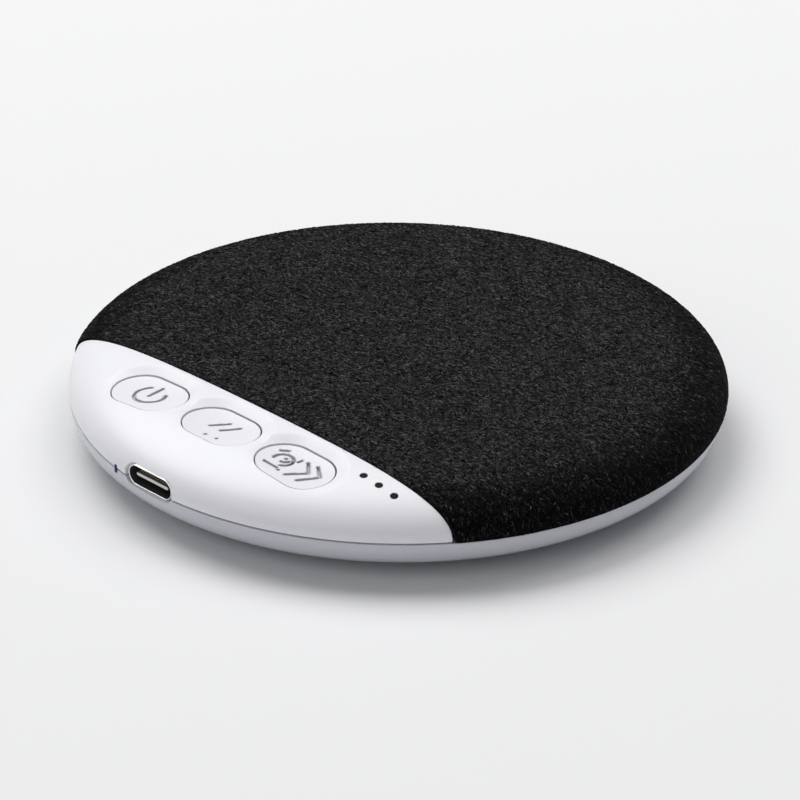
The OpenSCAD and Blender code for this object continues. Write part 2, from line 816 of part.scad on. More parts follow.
// A lead swept along its route
module lead(path, up) {
    p = route(path);
    last = len(p) - 1;
    rings = [
        for (i = [0 : last])
            let (
                along = unit(p[min(i + 1, last)] - p[max(i - 1, 0)]),
                side = unit(cross(along, up)),
                rise = cross(side, along)
            )
            for (k = [0 : lead_sides - 1])
                p[i] + lead_d / 2 * (cos(360 * k / lead_sides) * side + sin(360 * k / lead_sides) * rise)
    ];
    quads = [
        for (i = [0 : last - 1], k = [0 : lead_sides - 1])
            let (n = (k + 1) % lead_sides)
            [i * lead_sides + k, i * lead_sides + n, (i + 1) * lead_sides + n, (i + 1) * lead_sides + k]
    ];
    walls = [for (q = quads, t = [[q[0], q[2], q[1]], [q[0], q[3], q[2]]]) t];
    near_cap = [for (k = [1 : lead_sides - 2]) [0, k, k + 1]];
    far_cap = [for (k = [1 : lead_sides - 2]) last * lead_sides * [1, 1, 1] + [0, k + 1, k]];
    polyhedron(points = rings, faces = concat(walls, near_cap, far_cap));
}

module battery_lead_red() color("firebrick") lead(battery_red_path, [0, 0, 1]);

module battery_lead_black() color("#202020") lead(battery_black_path, [0, 0, 1]);

module speaker_lead_red() color("firebrick") lead(speaker_red_path, [1, 0, 0]);

module speaker_lead_black() color("#202020") lead(speaker_black_path, [1, 0, 0]);

// Driver frame: a pressed basket with a flange that lies on the seat, and an ear for the terminals
module driver_frame() color("dimgray") {
    floor_z = z_frame - basket_depth;
    translate([0, driver_y, 0])
        difference() {
            union() {
                rotate_extrude()
                    polygon([
                        [yoke_r + layer_gap, floor_z], [basket_r + frame_t, floor_z],
                        [flange_inner + frame_t, z_frame], [driver_r, z_frame], [driver_r, z_flange_top],
                        [flange_inner, z_flange_top], [basket_r, floor_z + frame_t],
                        [yoke_r + layer_gap, floor_z + frame_t]
                    ]);
                rotate(ear_angle)
                    translate([driver_r - 1, -ear_w / 2, z_frame])
                        cube([ear_reach - driver_r + 1, ear_w, z_flange_top - z_frame]);
            }
            for (i = [0 : 5])
                rotate(60 * i)
                    post([(yoke_r + basket_r) / 2, 0], vent_r, floor_z - past, floor_z + frame_t + past);
        }
}

module driver_yoke() color("silver") {
    translate([0, driver_y, z_yoke])
        difference() {
            cylinder(r = yoke_r, h = 2 * yoke_t + magnet_t);
            translate([0, 0, yoke_t]) cylinder(r = yoke_r - yoke_t, h = far);
        }
}

module driver_magnet() color("gray") {
    post([0, driver_y], magnet_d / 2, z_yoke + yoke_t, z_plate);
}

module driver_top_plate() color("silver") {
    post([0, driver_y], plate_d / 2, z_plate, z_plate + yoke_t);
}

module voice_coil() color("peru") {
    translate([0, driver_y, 0]) ring(coil_d / 2, coil_d / 2 + coil_t, coil_foot, coil_top);
}

// Shallow cone that the coil drives, closed by a domed cap and hung on a rolled edge
z_cone_foot = coil_top + lip_gap;
z_cone_rim = z_flange_top - cone_t;

module diaphragm() color("#303030") {
    translate([0, driver_y, 0])
        rotate_extrude()
            polygon([
                [cone_inner, z_cone_foot], [cone_outer - lip_w, z_cone_rim], [cone_outer, z_cone_rim],
                [cone_outer, z_cone_rim + cone_t], [cone_outer - lip_w, z_cone_rim + cone_t],
                [cone_inner, z_cone_foot + cone_t]
            ]);
}

module dust_cap() color("#404040") {
    cap_r = cone_inner + coil_t;
    cap_rise = 1.1;
    cap_z = z_cone_foot + cone_t + 2 * lip_gap;
    steps = 10;
    dome_line = [for (i = [0 : steps]) let (s = 1 - i / steps) [cap_r * s, cap_rise * (1 - s * s)]];
    under_line = [for (i = [0 : steps]) [dome_line[steps - i][0], dome_line[steps - i][1] + cone_t]];
    translate([0, driver_y, cap_z]) rotate_extrude() polygon(concat(dome_line, under_line));
}

module surround() color("#202020") {
    translate([0, driver_y, z_flange_top + lip_gap]) {
        rotate_extrude()
            translate([roll_mid, 0])
                intersection() {
                    difference() {
                        circle(r = roll_r);
                        circle(r = roll_r - cone_t);
                    }
                    translate([-far, 0]) square([2 * far, far]);
                }
        ring(cone_outer - lip_w, cone_outer + cone_t, 0, cone_t);
        ring(flange_inner - cone_t, flange_inner + lip_w, 0, cone_t);
    }
}

module driver_gasket() color("#383838") {
    translate([0, driver_y, 0])
        ring(flange_inner + lip_w + guide_room, driver_r - guide_room, z_flange_top, z_gasket);
}

module driver_terminals() color("peru") {
    translate([0, driver_y, z_flange_top])
        rotate(ear_angle)
            translate([driver_r + ear_margin, -ear_w / 2 + ear_margin, 0])
                cube([ear_reach - driver_r - 2 * ear_margin, ear_w - 2 * ear_margin, terminal_t]);
}

// A screw with its head below, its shank upwards
module screw(at, z, l) {
    post(at, head_d / 2, z, z + head_h);
    post(at, screw_d / 2, z, z + head_h + l);
}

module shell_screws() color("silver") {
    for (at = shell_screw_at) screw(at, z_head, shell_screw_l);
}

module board_screws() color("silver") {
    for (at = board_screw_at) {
        post(at, head_d / 2, z_board, z_board + head_h);
        post(at, screw_d / 2, z_board - board_screw_l, z_board + head_h);
    }
}

module panel_screws() color("silver") {
    for (side = [-1, 1]) screw([side * tab_x, tab_y], z_tab - head_h, panel_screw_l);
}

lower_shell();
feet();
control_panel();
grille_plate();
foam_pad();
fabric_cover();
power_button();
sound_button();
timer_button();
power_switch();
sound_switch();
timer_switch();
power_plunger();
sound_plunger();
timer_plunger();
circuit_board();
socket_shell();
socket_tongue();
socket_contacts();
indicator_guide();
indicator_leds();
charge_light_pipe();
charge_led();
controller_chip();
amplifier_chip();
charger_chip();
capacitors();
battery_cell();
battery_pad();
battery_header();
battery_plug();
battery_lead_red();
battery_lead_black();
speaker_lead_red();
speaker_lead_black();
driver_frame();
driver_yoke();
driver_magnet();
driver_top_plate();
voice_coil();
diaphragm();
dust_cap();
surround();
driver_gasket();
driver_terminals();
shell_screws();
board_screws();
panel_screws();
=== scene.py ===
import math

import bpy
import numpy as np
from mathutils import Matrix, Vector, kdtree, noise
from mathutils.geometry import delaunay_2d_cdt


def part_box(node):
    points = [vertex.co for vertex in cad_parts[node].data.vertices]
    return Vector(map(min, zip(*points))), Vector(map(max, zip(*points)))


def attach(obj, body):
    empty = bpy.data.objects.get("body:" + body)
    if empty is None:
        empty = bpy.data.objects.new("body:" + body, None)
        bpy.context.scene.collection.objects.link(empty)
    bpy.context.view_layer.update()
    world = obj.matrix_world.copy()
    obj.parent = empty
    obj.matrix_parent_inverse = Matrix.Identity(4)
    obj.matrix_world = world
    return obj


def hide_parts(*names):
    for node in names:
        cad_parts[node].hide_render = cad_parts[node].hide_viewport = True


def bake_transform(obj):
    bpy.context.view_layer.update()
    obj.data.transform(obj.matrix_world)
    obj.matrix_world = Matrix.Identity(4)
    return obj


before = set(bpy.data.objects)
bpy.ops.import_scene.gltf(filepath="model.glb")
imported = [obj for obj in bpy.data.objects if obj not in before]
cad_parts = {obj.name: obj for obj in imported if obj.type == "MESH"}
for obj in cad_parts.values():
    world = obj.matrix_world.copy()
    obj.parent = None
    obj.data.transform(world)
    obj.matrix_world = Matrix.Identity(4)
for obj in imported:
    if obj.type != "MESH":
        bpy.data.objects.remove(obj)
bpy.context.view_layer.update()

# Camera: it looks down at the disc from the front right, from over half a metre away through a long lens,
# leaning a little, with the disc just above the middle of the picture. Sizes here and below are in mm.
mm = 0.001
wide_z = 7.2
camera_distance = 576
azimuth, elevation, lean = (math.radians(a) for a in (44.40, 27.55, 0.685))
photo_px = 800
focal_px = 3932
disc_centre_px = (397.5, 379.1)
sensor_w = 36
nearest_seen = 10

level = Vector((math.cos(azimuth), math.sin(azimuth), 0))
ahead = Vector((-math.sin(azimuth), math.cos(azimuth), 0))
back = Vector((0, 0, math.sin(elevation))) - ahead * math.cos(elevation)
rise = back.cross(level)
right = level * math.cos(lean) + rise * math.sin(lean)
up = rise * math.cos(lean) - level * math.sin(lean)
disc_centre = Vector((0, 0, wide_z))
stand = disc_centre + back * camera_distance
px = camera_distance / focal_px
off_px = [photo_px / 2 - p for p in disc_centre_px]
aim = disc_centre + right * off_px[0] * px - up * off_px[1] * px
depth_axis = (stand - aim).normalized()
side_axis = (right - depth_axis * right.dot(depth_axis)).normalized()
camera_data = bpy.data.cameras.new("camera")
camera_data.sensor_width = sensor_w
camera_data.lens = focal_px / photo_px * sensor_w
camera_data.clip_start = nearest_seen * mm
camera = bpy.data.objects.new("camera", camera_data)
camera_turn = Matrix((side_axis, depth_axis.cross(side_axis), depth_axis)).transposed()
camera.matrix_world = Matrix.Translation(stand * mm) @ camera_turn.to_4x4()
bpy.context.scene.collection.objects.link(camera)
bpy.context.scene.camera = camera
bpy.context.scene.view_settings.view_transform = "Standard"

# Studio: a wide pale table under two large soft lamps, above and behind the disc on the camera's left and
# right, and a weak one in front on the left. The table fades out into a dim pale room, and from below it
# isn't seen.
table_r = 900
table_steps = 96
fade_from, fade_to = 330, 620
table_white = (0.93, 0.93, 0.935, 1)
room_white = (0.935, 0.938, 0.945, 1)
room_tint = (0.97, 0.98, 1.0, 1)
room_light = 0.18
lamp_w = 1600
lamps = {
    "left_lamp": ((-1131, 211, 1638), 25.5),
    "right_lamp": ((12, 1148, 1638), 13.2),
    "front_lamp": ((0, -1638, 1148), 5.4),
}


def add_node(nodes, kind, inputs=(), operation=None):
    """A new shader node of a kind, with the values of its inputs."""
    node = nodes.new(kind)
    if operation:
        node.operation = operation
    for name, value in dict(inputs).items():
        node.inputs[name].default_value = value
    return node


def bare_finish(name, inputs=()):
    """A new material, with its nodes, its links and its shader."""
    material = bpy.data.materials.new(name)
    material.use_nodes = True
    nodes, links = material.node_tree.nodes, material.node_tree.links
    shader = nodes["Principled BSDF"]
    for socket, value in dict(inputs).items():
        shader.inputs[socket].default_value = value
    return material, nodes, links, shader


world = bpy.data.worlds.new("room")
bpy.context.scene.world = world
world.use_nodes = True
nodes, links = world.node_tree.nodes, world.node_tree.links
nodes.clear()
rays = add_node(nodes, "ShaderNodeLightPath")
seen = add_node(nodes, "ShaderNodeMath", operation="MAXIMUM")
seen_at_all = add_node(nodes, "ShaderNodeMath", operation="MAXIMUM")
room_dim = add_node(nodes, "ShaderNodeBackground", {"Color": room_tint, "Strength": room_light})
room_seen = add_node(nodes, "ShaderNodeBackground", {"Color": room_white})
room_mix = add_node(nodes, "ShaderNodeMixShader")
room = add_node(nodes, "ShaderNodeOutputWorld")
links.new(rays.outputs["Is Camera Ray"], seen.inputs[0])
links.new(rays.outputs["Is Glossy Ray"], seen.inputs[1])
links.new(seen.outputs[0], seen_at_all.inputs[0])
links.new(rays.outputs["Is Transmission Ray"], seen_at_all.inputs[1])
links.new(seen_at_all.outputs[0], room_mix.inputs["Fac"])
links.new(room_dim.outputs[0], room_mix.inputs[1])
links.new(room_seen.outputs[0], room_mix.inputs[2])
links.new(room_mix.outputs[0], room.inputs["Surface"])

for name, (lamp_at, watts) in lamps.items():
    lamp_data = bpy.data.lights.new(name, "AREA")
    lamp_data.shape = "DISK"
    lamp_data.size = lamp_w * mm
    lamp_data.energy = watts
    lamp = bpy.data.objects.new(name, lamp_data)
    lamp.location = Vector(lamp_at) * mm
    lamp.rotation_euler = (-lamp.location).to_track_quat("-Z", "Y").to_euler()
    bpy.context.scene.collection.objects.link(lamp)

table_mesh = bpy.data.meshes.new("table")
table_turn = [2 * math.pi * i / table_steps for i in range(table_steps)]
table_edge = [(table_r * mm * math.cos(a), table_r * mm * math.sin(a), 0) for a in table_turn]
table_mesh.from_pydata(table_edge, [], [list(range(table_steps))])
table = bpy.data.objects.new("table", table_mesh)
bpy.context.scene.collection.objects.link(table)
table_finish, nodes, links, paper = bare_finish(
    "table_paper", {"Base Color": table_white, "Roughness": 0.85, "Specular IOR Level": 0.1}
)
place = add_node(nodes, "ShaderNodeNewGeometry")
reach = add_node(nodes, "ShaderNodeVectorMath", operation="LENGTH")
fade = add_node(nodes, "ShaderNodeMapRange", {"From Min": fade_from * mm, "From Max": fade_to * mm})
fade.interpolation_type = "SMOOTHSTEP"
gone = add_node(nodes, "ShaderNodeMath", operation="MAXIMUM")
clear = add_node(nodes, "ShaderNodeBsdfTransparent")
table_mix = add_node(nodes, "ShaderNodeMixShader")
links.new(place.outputs["Position"], reach.inputs[0])
links.new(reach.outputs["Value"], fade.inputs["Value"])
links.new(fade.outputs["Result"], gone.inputs[0])
links.new(place.outputs["Backfacing"], gone.inputs[1])
links.new(gone.outputs[0], table_mix.inputs["Fac"])
links.new(paper.outputs[0], table_mix.inputs[1])
links.new(clear.outputs[0], table_mix.inputs[2])
links.new(table_mix.outputs[0], nodes["Material Output"].inputs["Surface"])
table_mesh.materials.append(table_finish)

# Lower shell: the white dish below the seam, moulded in glossy plastic. Its rim meets the upper half at
# a fine open seam, and is notched for the charging socket and the charge light. Its floor has seats for
# four rubber feet.
body_r = 48
base_h = 6.4
underside_r = 31
base_round = 2.9
shell_wall = 1.6
shell_step = 0.6
seam_drop = 0.45
rim_edge = 0.1
rim_step = 0.45
edge_steps = 5
port_x, port_rise = -1.6, 0.4
socket_w, socket_h = 8.94, 3.26
port_side, port_margin = 0.5, 0.03
port_bend_steps, port_run_steps = 20, 30
charge_x, charge_w, charge_h = -9, 0.7, 1.35
charge_corner = 0.15
charge_wall_steps = 3
foot_r, foot_seat = 4.5, 0.6
foot_gap = 0.05
foot_steps = 72
foot_places = [(16.83, 25.93), (-16.83, 25.93), (20.3, -20.2), (-20.3, -20.2)]
# The shell's white is written much darker than the panel's: painted shade on the same white plastic.
shell_white_in_painted_shade = (0.58, 0.59, 0.64)
rim_painted_light, floor_painted_shade, floor_level = 1.1, 0.84, 2
front_reach = 22
section_steps = 3000
tiny = 1e-6


def profile(r, z):
    """A half section from the axis to the rim, with the length along it that lays its skin out flat."""
    return np.concatenate([[0], np.cumsum(np.hypot(np.diff(r), np.diff(z)))]), r, z


def swept(section, side):
    """The face that a half section sweeps about the axis, seen from above (side 1) or below (side -1)."""
    s, r, z = section

    def face(flat):
        length = np.hypot(flat[:, 0], flat[:, 1])
        share = np.where(length < tiny, 1, np.interp(length, s, r) / np.maximum(length, tiny))
        x, y = (flat * share[:, None]).T
        return np.stack([x, side * y, wide_z + np.interp(length, s, z)], axis=1)

    return face


def from_plan(section, side, plan):
    """Points of a swept face, given in plan, on its flat layout."""
    s, r, _ = section
    rim = int(np.argmax(r)) + 1
    radius = np.hypot(plan[:, 0], plan[:, 1])
    share = np.where(radius < tiny, 1, np.interp(radius, r[:rim], s[:rim]) / np.maximum(radius, tiny))
    return np.stack([plan[:, 0] * share, side * plan[:, 1] * share], axis=1)


def from_front(section, side, marks):
    """Points of the rim on the flat layout, from their x and their height over the widest level."""
    s, r, z = section
    length = np.interp(-side * marks[:, 1], -side * z, s)
    radius = np.interp(length, s, r)
    x = marks[:, 0]
    return np.stack([x, -side * np.sqrt(radius**2 - x**2)], axis=1) * (length / radius)[:, None]


def from_bearing(section, side, height, bearing):
    """Points of the rim on the flat layout, from their bearing and one height over the widest level."""
    s, _, z = section
    length = float(np.interp(-side * height, -side * z, s))
    return length * np.stack([np.cos(bearing), side * np.sin(bearing)], axis=1)


def port_notch(side, height, grow):
    """The socket's cut-out above or below a height, from left to right, as seen from the front."""
    radius = socket_h / 2 + port_margin + grow
    straight = socket_w / 2 + port_side - socket_h / 2 - port_margin
    start = math.asin((height - port_rise) / radius)
    bend = np.linspace(start, side * math.pi / 2, port_bend_steps)
    right_end = np.stack([straight + radius * np.cos(bend), radius * np.sin(bend)], axis=1)[::-1]
    run = np.linspace(-straight, straight, port_run_steps)[1:-1]
    middle = np.stack([run, np.full(len(run), side * radius)], axis=1)
    return np.concatenate([right_end[::-1] * [-1, 1], middle, right_end]) + [port_x, port_rise]


def light_notch(side, height, grow):
    """The charge light's cut-out above or below a height, from left to right, as seen from the front."""
    half, top = charge_w / 2 + grow, charge_h / 2 + grow
    bend = np.linspace(0, math.pi / 2, edge_steps + 1)
    turn = np.stack([np.cos(bend), np.sin(bend)], axis=1)
    corner = [half - charge_corner, top - charge_corner] + charge_corner * turn
    wall = np.linspace(side * (height + seam_drop), top - charge_corner, charge_wall_steps + 1)[:-1]
    right_end = np.concatenate([np.stack([np.full(len(wall), half), wall], axis=1), corner])[::-1]
    return np.concatenate([right_end[::-1] * [-1, 1], right_end]) * [1, side] + [charge_x, -seam_drop]


def front_rim(side, height, grow, reach):
    """The rim's edge across the front with its two cut-outs, from left to right, as seen from the front."""
    light, port = light_notch(side, height, grow), port_notch(side, height, grow)
    ends = [(-reach, light[0, 0]), (light[-1, 0], port[0, 0]), (port[-1, 0], reach)]
    runs = [np.linspace(a, b, int((b - a) / rim_step) + 2) for a, b in ends]
    first, second, third = (np.stack([x, np.full(len(x), height)], axis=1) for x in runs)
    return np.concatenate([first[:-1], light, second[1:-1], port, third[1:]])


def disc(radius, count, centre=(0, 0)):
    """Points round a circle."""
    turn = np.linspace(0, 2 * math.pi, count, endpoint=False)
    return radius * np.stack([np.cos(turn), np.sin(turn)], axis=1) + np.array(centre)


def inside(points, loop):
    """Which flat points lie inside a closed loop."""
    hit = np.zeros(len(points), bool)
    x, y = points.T
    for (x0, y0), (x1, y1) in zip(loop, np.roll(loop, -1, axis=0)):
        if y0 != y1:
            hit ^= ((y0 > y) != (y1 > y)) & (x < x0 + (y - y0) * (x1 - x0) / (y1 - y0))
    return hit


def within(points, loops):
    """Which flat points lie inside the first loop and outside the others."""
    held = inside(points, loops[0])
    for hole in loops[1:]:
        held &= ~inside(points, hole)
    return held


def spread(loop, step):
    """Evenly spread points over the rectangle that holds a loop."""
    low, high = loop.min(axis=0), loop.max(axis=0)
    columns = np.arange(low[0], high[0], step)
    rows = np.arange(low[1], high[1], step * math.sqrt(3) / 2)
    lines = []
    for i, y in enumerate(rows):
        lines.append(np.stack([columns + step / 2 * (i % 2), np.full(len(columns), y)], axis=1))
    return np.concatenate(lines)


def unit(v):
    """Vectors brought to length 1."""
    shortest = 1e-12
    return v / np.maximum(np.linalg.norm(v, axis=1, keepdims=True), shortest)


def face_axes(face, flat):
    """The way that a face runs along the x of its layout, and its outward normal, at flat points."""
    nudge = 0.04
    along = face(flat + [nudge, 0]) - face(flat - [nudge, 0])
    across = face(flat + [0, nudge]) - face(flat - [0, nudge])
    return unit(along), unit(np.cross(along, across))


def mesh_piece(name, points, faces, normals=None):
    """A smooth mesh from points in mm, with its shading normals where they are known."""
    mesh = bpy.data.meshes.new(name)
    mesh.from_pydata((np.asarray(points) * mm).tolist(), [], [[int(i) for i in f] for f in faces])
    mesh.shade_smooth()
    if normals is not None:
        mesh.normals_split_custom_set_from_vertices(np.asarray(normals).tolist())
    piece = bpy.data.objects.new(name, mesh)
    bpy.context.scene.collection.objects.link(piece)
    return piece


def facing(loop, way):
    """A loop that runs anticlockwise (way 1) or clockwise (way -1)."""
    x, y = loop.T
    area = np.sum(x * np.roll(y, -1) - y * np.roll(x, -1))
    return loop if area * way > 0 else loop[::-1]


def moulded(name, face, loops, step, thickness, fill=(), lines=(), second=None):
    """A closed moulded wall: its face inside the first loop and outside the others, a rounded edge and a wall
    at each loop, and its inner face. A loop is (flat points, edge radius, wall depth, whether the wall goes
    straight down). Second says which flat points take the second material."""
    sliver, least_wall = 1e-5, 0.01
    rims = [facing(loop[0], 1 if i == 0 else -1) for i, loop in enumerate(loops)]
    fixed = np.concatenate([*rims, *lines])
    near = kdtree.KDTree(len(fixed))
    for i, p in enumerate(fixed):
        near.insert((p[0], p[1], 0), i)
    near.balance()
    grid = spread(rims[0], step)
    grid = grid[np.array([near.find((p[0], p[1], 0))[2] > step / 2 for p in grid])]
    loose = np.concatenate([grid, *fill])
    flat = np.concatenate([fixed, loose[within(loose, rims)]])
    edges, start = [], 0
    for closed in [*rims, *lines]:
        edges += [(start + i, start + (i + 1) % len(closed)) for i in range(len(closed))]
        start += len(closed)
    made = delaunay_2d_cdt([Vector(p) for p in flat], edges, [], 0, tiny)
    laid = np.array([tuple(p) for p in made[0]])
    tris = np.array(made[2])
    came_from = {old: new for new, olds in enumerate(made[3]) for old in olds}
    a, b, c = (laid[tris[:, i]] for i in range(3))
    area = (b - a)[:, 0] * (c - a)[:, 1] - (b - a)[:, 1] * (c - a)[:, 0]
    tris[area < 0] = tris[area < 0][:, ::-1]
    middle = (a + b + c) / 3
    held = within(middle, rims) & (np.abs(area) > sliver)
    tris, middle = tris[held], middle[held]
    skin = face(laid)
    _, normal = face_axes(face, laid)
    count = len(skin)
    points, normals = [skin, skin - normal * thickness], [normal, -normal]
    faces = [tris, tris[:, ::-1] + count]
    total, start = 2 * count, 0
    for rim, (_, edge, depth, straight) in zip(rims, loops):
        ids = np.array([came_from[start + i] for i in range(len(rim))])
        start += len(rim)
        p, n = skin[ids], normal[ids]
        out = unit(np.cross(unit(np.roll(p, -1, axis=0) - np.roll(p, 1, axis=0)), n))
        down = np.tile([0.0, 0, -1], (len(n), 1)) if straight else -n
        rings = [ids]
        for bend in np.linspace(0, math.pi / 2, edge_steps + 1)[1:]:
            points.append(p + out * edge * math.sin(bend) - n * edge * (1 - math.cos(bend)))
            normals.append(n * math.cos(bend) + out * math.sin(bend))
        points.append(points[-1] + down * max(depth - edge, least_wall))
        normals.append(out)
        for _ in range(edge_steps + 1):
            rings.append(np.arange(total, total + len(ids)))
            total += len(ids)
        rings.append(ids + count)
        for upper, lower in zip(rings, rings[1:]):
            after, below = np.roll(upper, -1), np.roll(lower, -1)
            faces.append(np.stack([upper, lower, below], axis=1))
            faces.append(np.stack([upper, below, after], axis=1))
    piece = mesh_piece(name, np.concatenate(points), np.concatenate(faces), np.concatenate(normals))
    if second is not None:
        marked = np.zeros(sum(len(f) for f in faces), np.int32)
        marked[: len(tris)] = second(middle)
        piece.data.materials.append(None)
        piece.data.materials.append(None)
        piece.data.polygons.foreach_set("material_index", marked)
    return piece


def colour_ramp(nodes, first, last, *between):
    """A ramp from one colour to another, by way of others, each with its place from 0 to 1."""
    ramp = add_node(nodes, "ShaderNodeValToRGB")
    stops = ramp.color_ramp.elements
    for i, (at, colour) in enumerate((first, last)):
        stops[i].position = at
        stops[i].color = (*colour, 1)
    for at, colour in between:
        stops.new(at).color = (*colour, 1)
    return ramp


def mottled(name, dark, light, patch, gloss, grain, relief_depth, metal=0.0, stretch=(1, 1, 1)):
    """A finish that drifts between two colours and between two roughnesses in patches, over a fine grain."""
    material, nodes, links, shader = bare_finish(name, {"Metallic": metal})
    place = add_node(nodes, "ShaderNodeTexCoord")
    drawn = add_node(nodes, "ShaderNodeMapping", {"Scale": stretch})
    cloud = add_node(nodes, "ShaderNodeTexNoise", {"Scale": 1 / (patch * mm), "Detail": 3})
    tint = colour_ramp(nodes, (0.3, dark), (0.7, light))
    shine = add_node(nodes, "ShaderNodeMapRange", {"To Min": gloss[0], "To Max": gloss[1]})
    speck = add_node(nodes, "ShaderNodeTexNoise", {"Scale": 1 / (grain * mm), "Detail": 2})
    relief = add_node(nodes, "ShaderNodeBump", {"Strength": 0.3, "Distance": relief_depth * mm})
    links.new(place.outputs["Object"], drawn.inputs["Vector"])
    links.new(drawn.outputs["Vector"], cloud.inputs["Vector"])
    links.new(drawn.outputs["Vector"], speck.inputs["Vector"])
    links.new(cloud.outputs["Fac"], tint.inputs["Fac"])
    links.new(tint.outputs["Color"], shader.inputs["Base Color"])
    links.new(cloud.outputs["Fac"], shine.inputs["Value"])
    links.new(shine.outputs["Result"], shader.inputs["Roughness"])
    links.new(speck.outputs["Fac"], relief.inputs["Height"])
    links.new(relief.outputs["Normal"], shader.inputs["Normal"])
    return material


def shaded(colour, share):
    """A colour made darker or lighter."""
    return tuple(share * c for c in colour)


def moulded_white(name, colour, roughness):
    """White plastic out of a polished tool."""
    gloss = (roughness - 0.05, roughness + 0.05)
    return mottled(name, shaded(colour, 0.975), colour, 14, gloss, 0.35, 0.004)


def toned(material, colour, measure, near, far, tones):
    """Paints light and shade into a finish's colour, scaling it from one tone to another as a measured length
    goes from near to far.
    """
    nodes, links = material.node_tree.nodes, material.node_tree.links
    span = {"From Min": near * mm, "From Max": far * mm, "To Min": tones[0], "To Max": tones[1]}
    tone = add_node(nodes, "ShaderNodeMapRange", span)
    tone.interpolation_type = "SMOOTHSTEP"
    scaled = add_node(nodes, "ShaderNodeVectorMath", operation="SCALE")
    links.new(measure, tone.inputs["Value"])
    links.new(colour, scaled.inputs[0])
    links.new(tone.outputs["Result"], scaled.inputs["Scale"])
    links.new(scaled.outputs["Vector"], nodes["Principled BSDF"].inputs["Base Color"])


quarter = np.linspace(0, math.pi / 2, section_steps)
dish_side_r = underside_r + (body_r - underside_r) * np.sin(quarter) ** (2 / base_round)
dish_side_z = -base_h * np.cos(quarter) ** (2 / base_round)
dish = profile(np.concatenate([[0], dish_side_r, [body_r]]), np.concatenate([[-base_h], dish_side_z, [1]]))
shell_hem = -seam_drop - rim_edge
front = from_front(dish, -1, front_rim(-1, shell_hem, rim_edge, front_reach))
front_end = math.acos(front_reach / body_r)
around = np.arange(-front_end, math.pi + front_end, rim_step / body_r)[1:]
shell_rim = np.concatenate([front, from_bearing(dish, -1, shell_hem, around)])
shell_loops = [(shell_rim, rim_edge, shell_wall, False)]
for at in foot_places:
    seat = from_plan(dish, -1, disc(foot_r + foot_gap + rim_edge, foot_steps, at))
    shell_loops.append((seat, rim_edge, foot_seat, False))
lower_shell = moulded("shell_dish", swept(dish, -1), shell_loops, shell_step, shell_wall)
shell_finish = moulded_white("shell_gloss", shell_white_in_painted_shade, 0.2)
# Painted light and shade: the shell's colour is lighter near its rim and darker towards its floor.
nodes, links = shell_finish.node_tree.nodes, shell_finish.node_tree.links
level_on = add_node(nodes, "ShaderNodeSeparateXYZ")
links.new(nodes["Texture Coordinate"].outputs["Object"], level_on.inputs["Vector"])
shell_tint = nodes["Color Ramp"].outputs["Color"]
toned(shell_finish, shell_tint, level_on.outputs["Z"], floor_level, wide_z, (floor_painted_shade, rim_painted_light))
lower_shell.data.materials.append(shell_finish)
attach(lower_shell, "housing")
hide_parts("lower_shell")

# Feet: four pads of soft grey rubber, pressed into their seats over the shell's screws. Each has a rolled
# edge and a faintly hollow sole.
foot_top = 1.4
foot_edge = 0.3
foot_edge_steps = 6
sole_hollow = 0.08
rubber_grey = (0.055, 0.056, 0.06)


def band(a, b, count):
    """Faces between two rings of points, from the number of the first point of each."""
    return [(a + j, a + (j + 1) % count, b + (j + 1) % count, b + j) for j in range(count)]


def turned(name, outline, places, count):
    """Equal pieces turned from an outline of (radius, height) points, which starts and ends on the axis."""
    points, faces = [], []
    for x, y in places:
        start = len(points)
        points.append((x, y, outline[0][1]))
        for r, z in outline[1:-1]:
            points += [(*p, z) for p in disc(r, count, (x, y))]
        points.append((x, y, outline[-1][1]))
        first, last = start + 1, len(points) - 1 - count
        faces += [(start, first + (j + 1) % count, first + j) for j in range(count)]
        for ring in range(first, last, count):
            faces += band(ring, ring + count, count)
        faces += [(last + j, last + (j + 1) % count, last + count) for j in range(count)]
    return mesh_piece(name, points, faces)


foot_bend = [i * math.pi / 2 / foot_edge_steps for i in range(foot_edge_steps + 1)]
foot_outline = [
    (0, sole_hollow),
    (foot_r - 3 * foot_edge, sole_hollow),
    (foot_r - 2 * foot_edge, sole_hollow / 5),
    *((foot_r - foot_edge + foot_edge * math.sin(a), foot_edge - foot_edge * math.cos(a)) for a in foot_bend),
    (foot_r, foot_top),
    (foot_r - foot_edge / 3, foot_top),
    (0, foot_top),
]
feet = turned("foot_pads", foot_outline, foot_places, foot_steps)
foot_rubber = mottled("foot_rubber", shaded(rubber_grey, 0.8), rubber_grey, 3, (0.62, 0.78), 0.25, 0.03)
feet.data.materials.append(foot_rubber)
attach(feet, "housing")
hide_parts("feet")

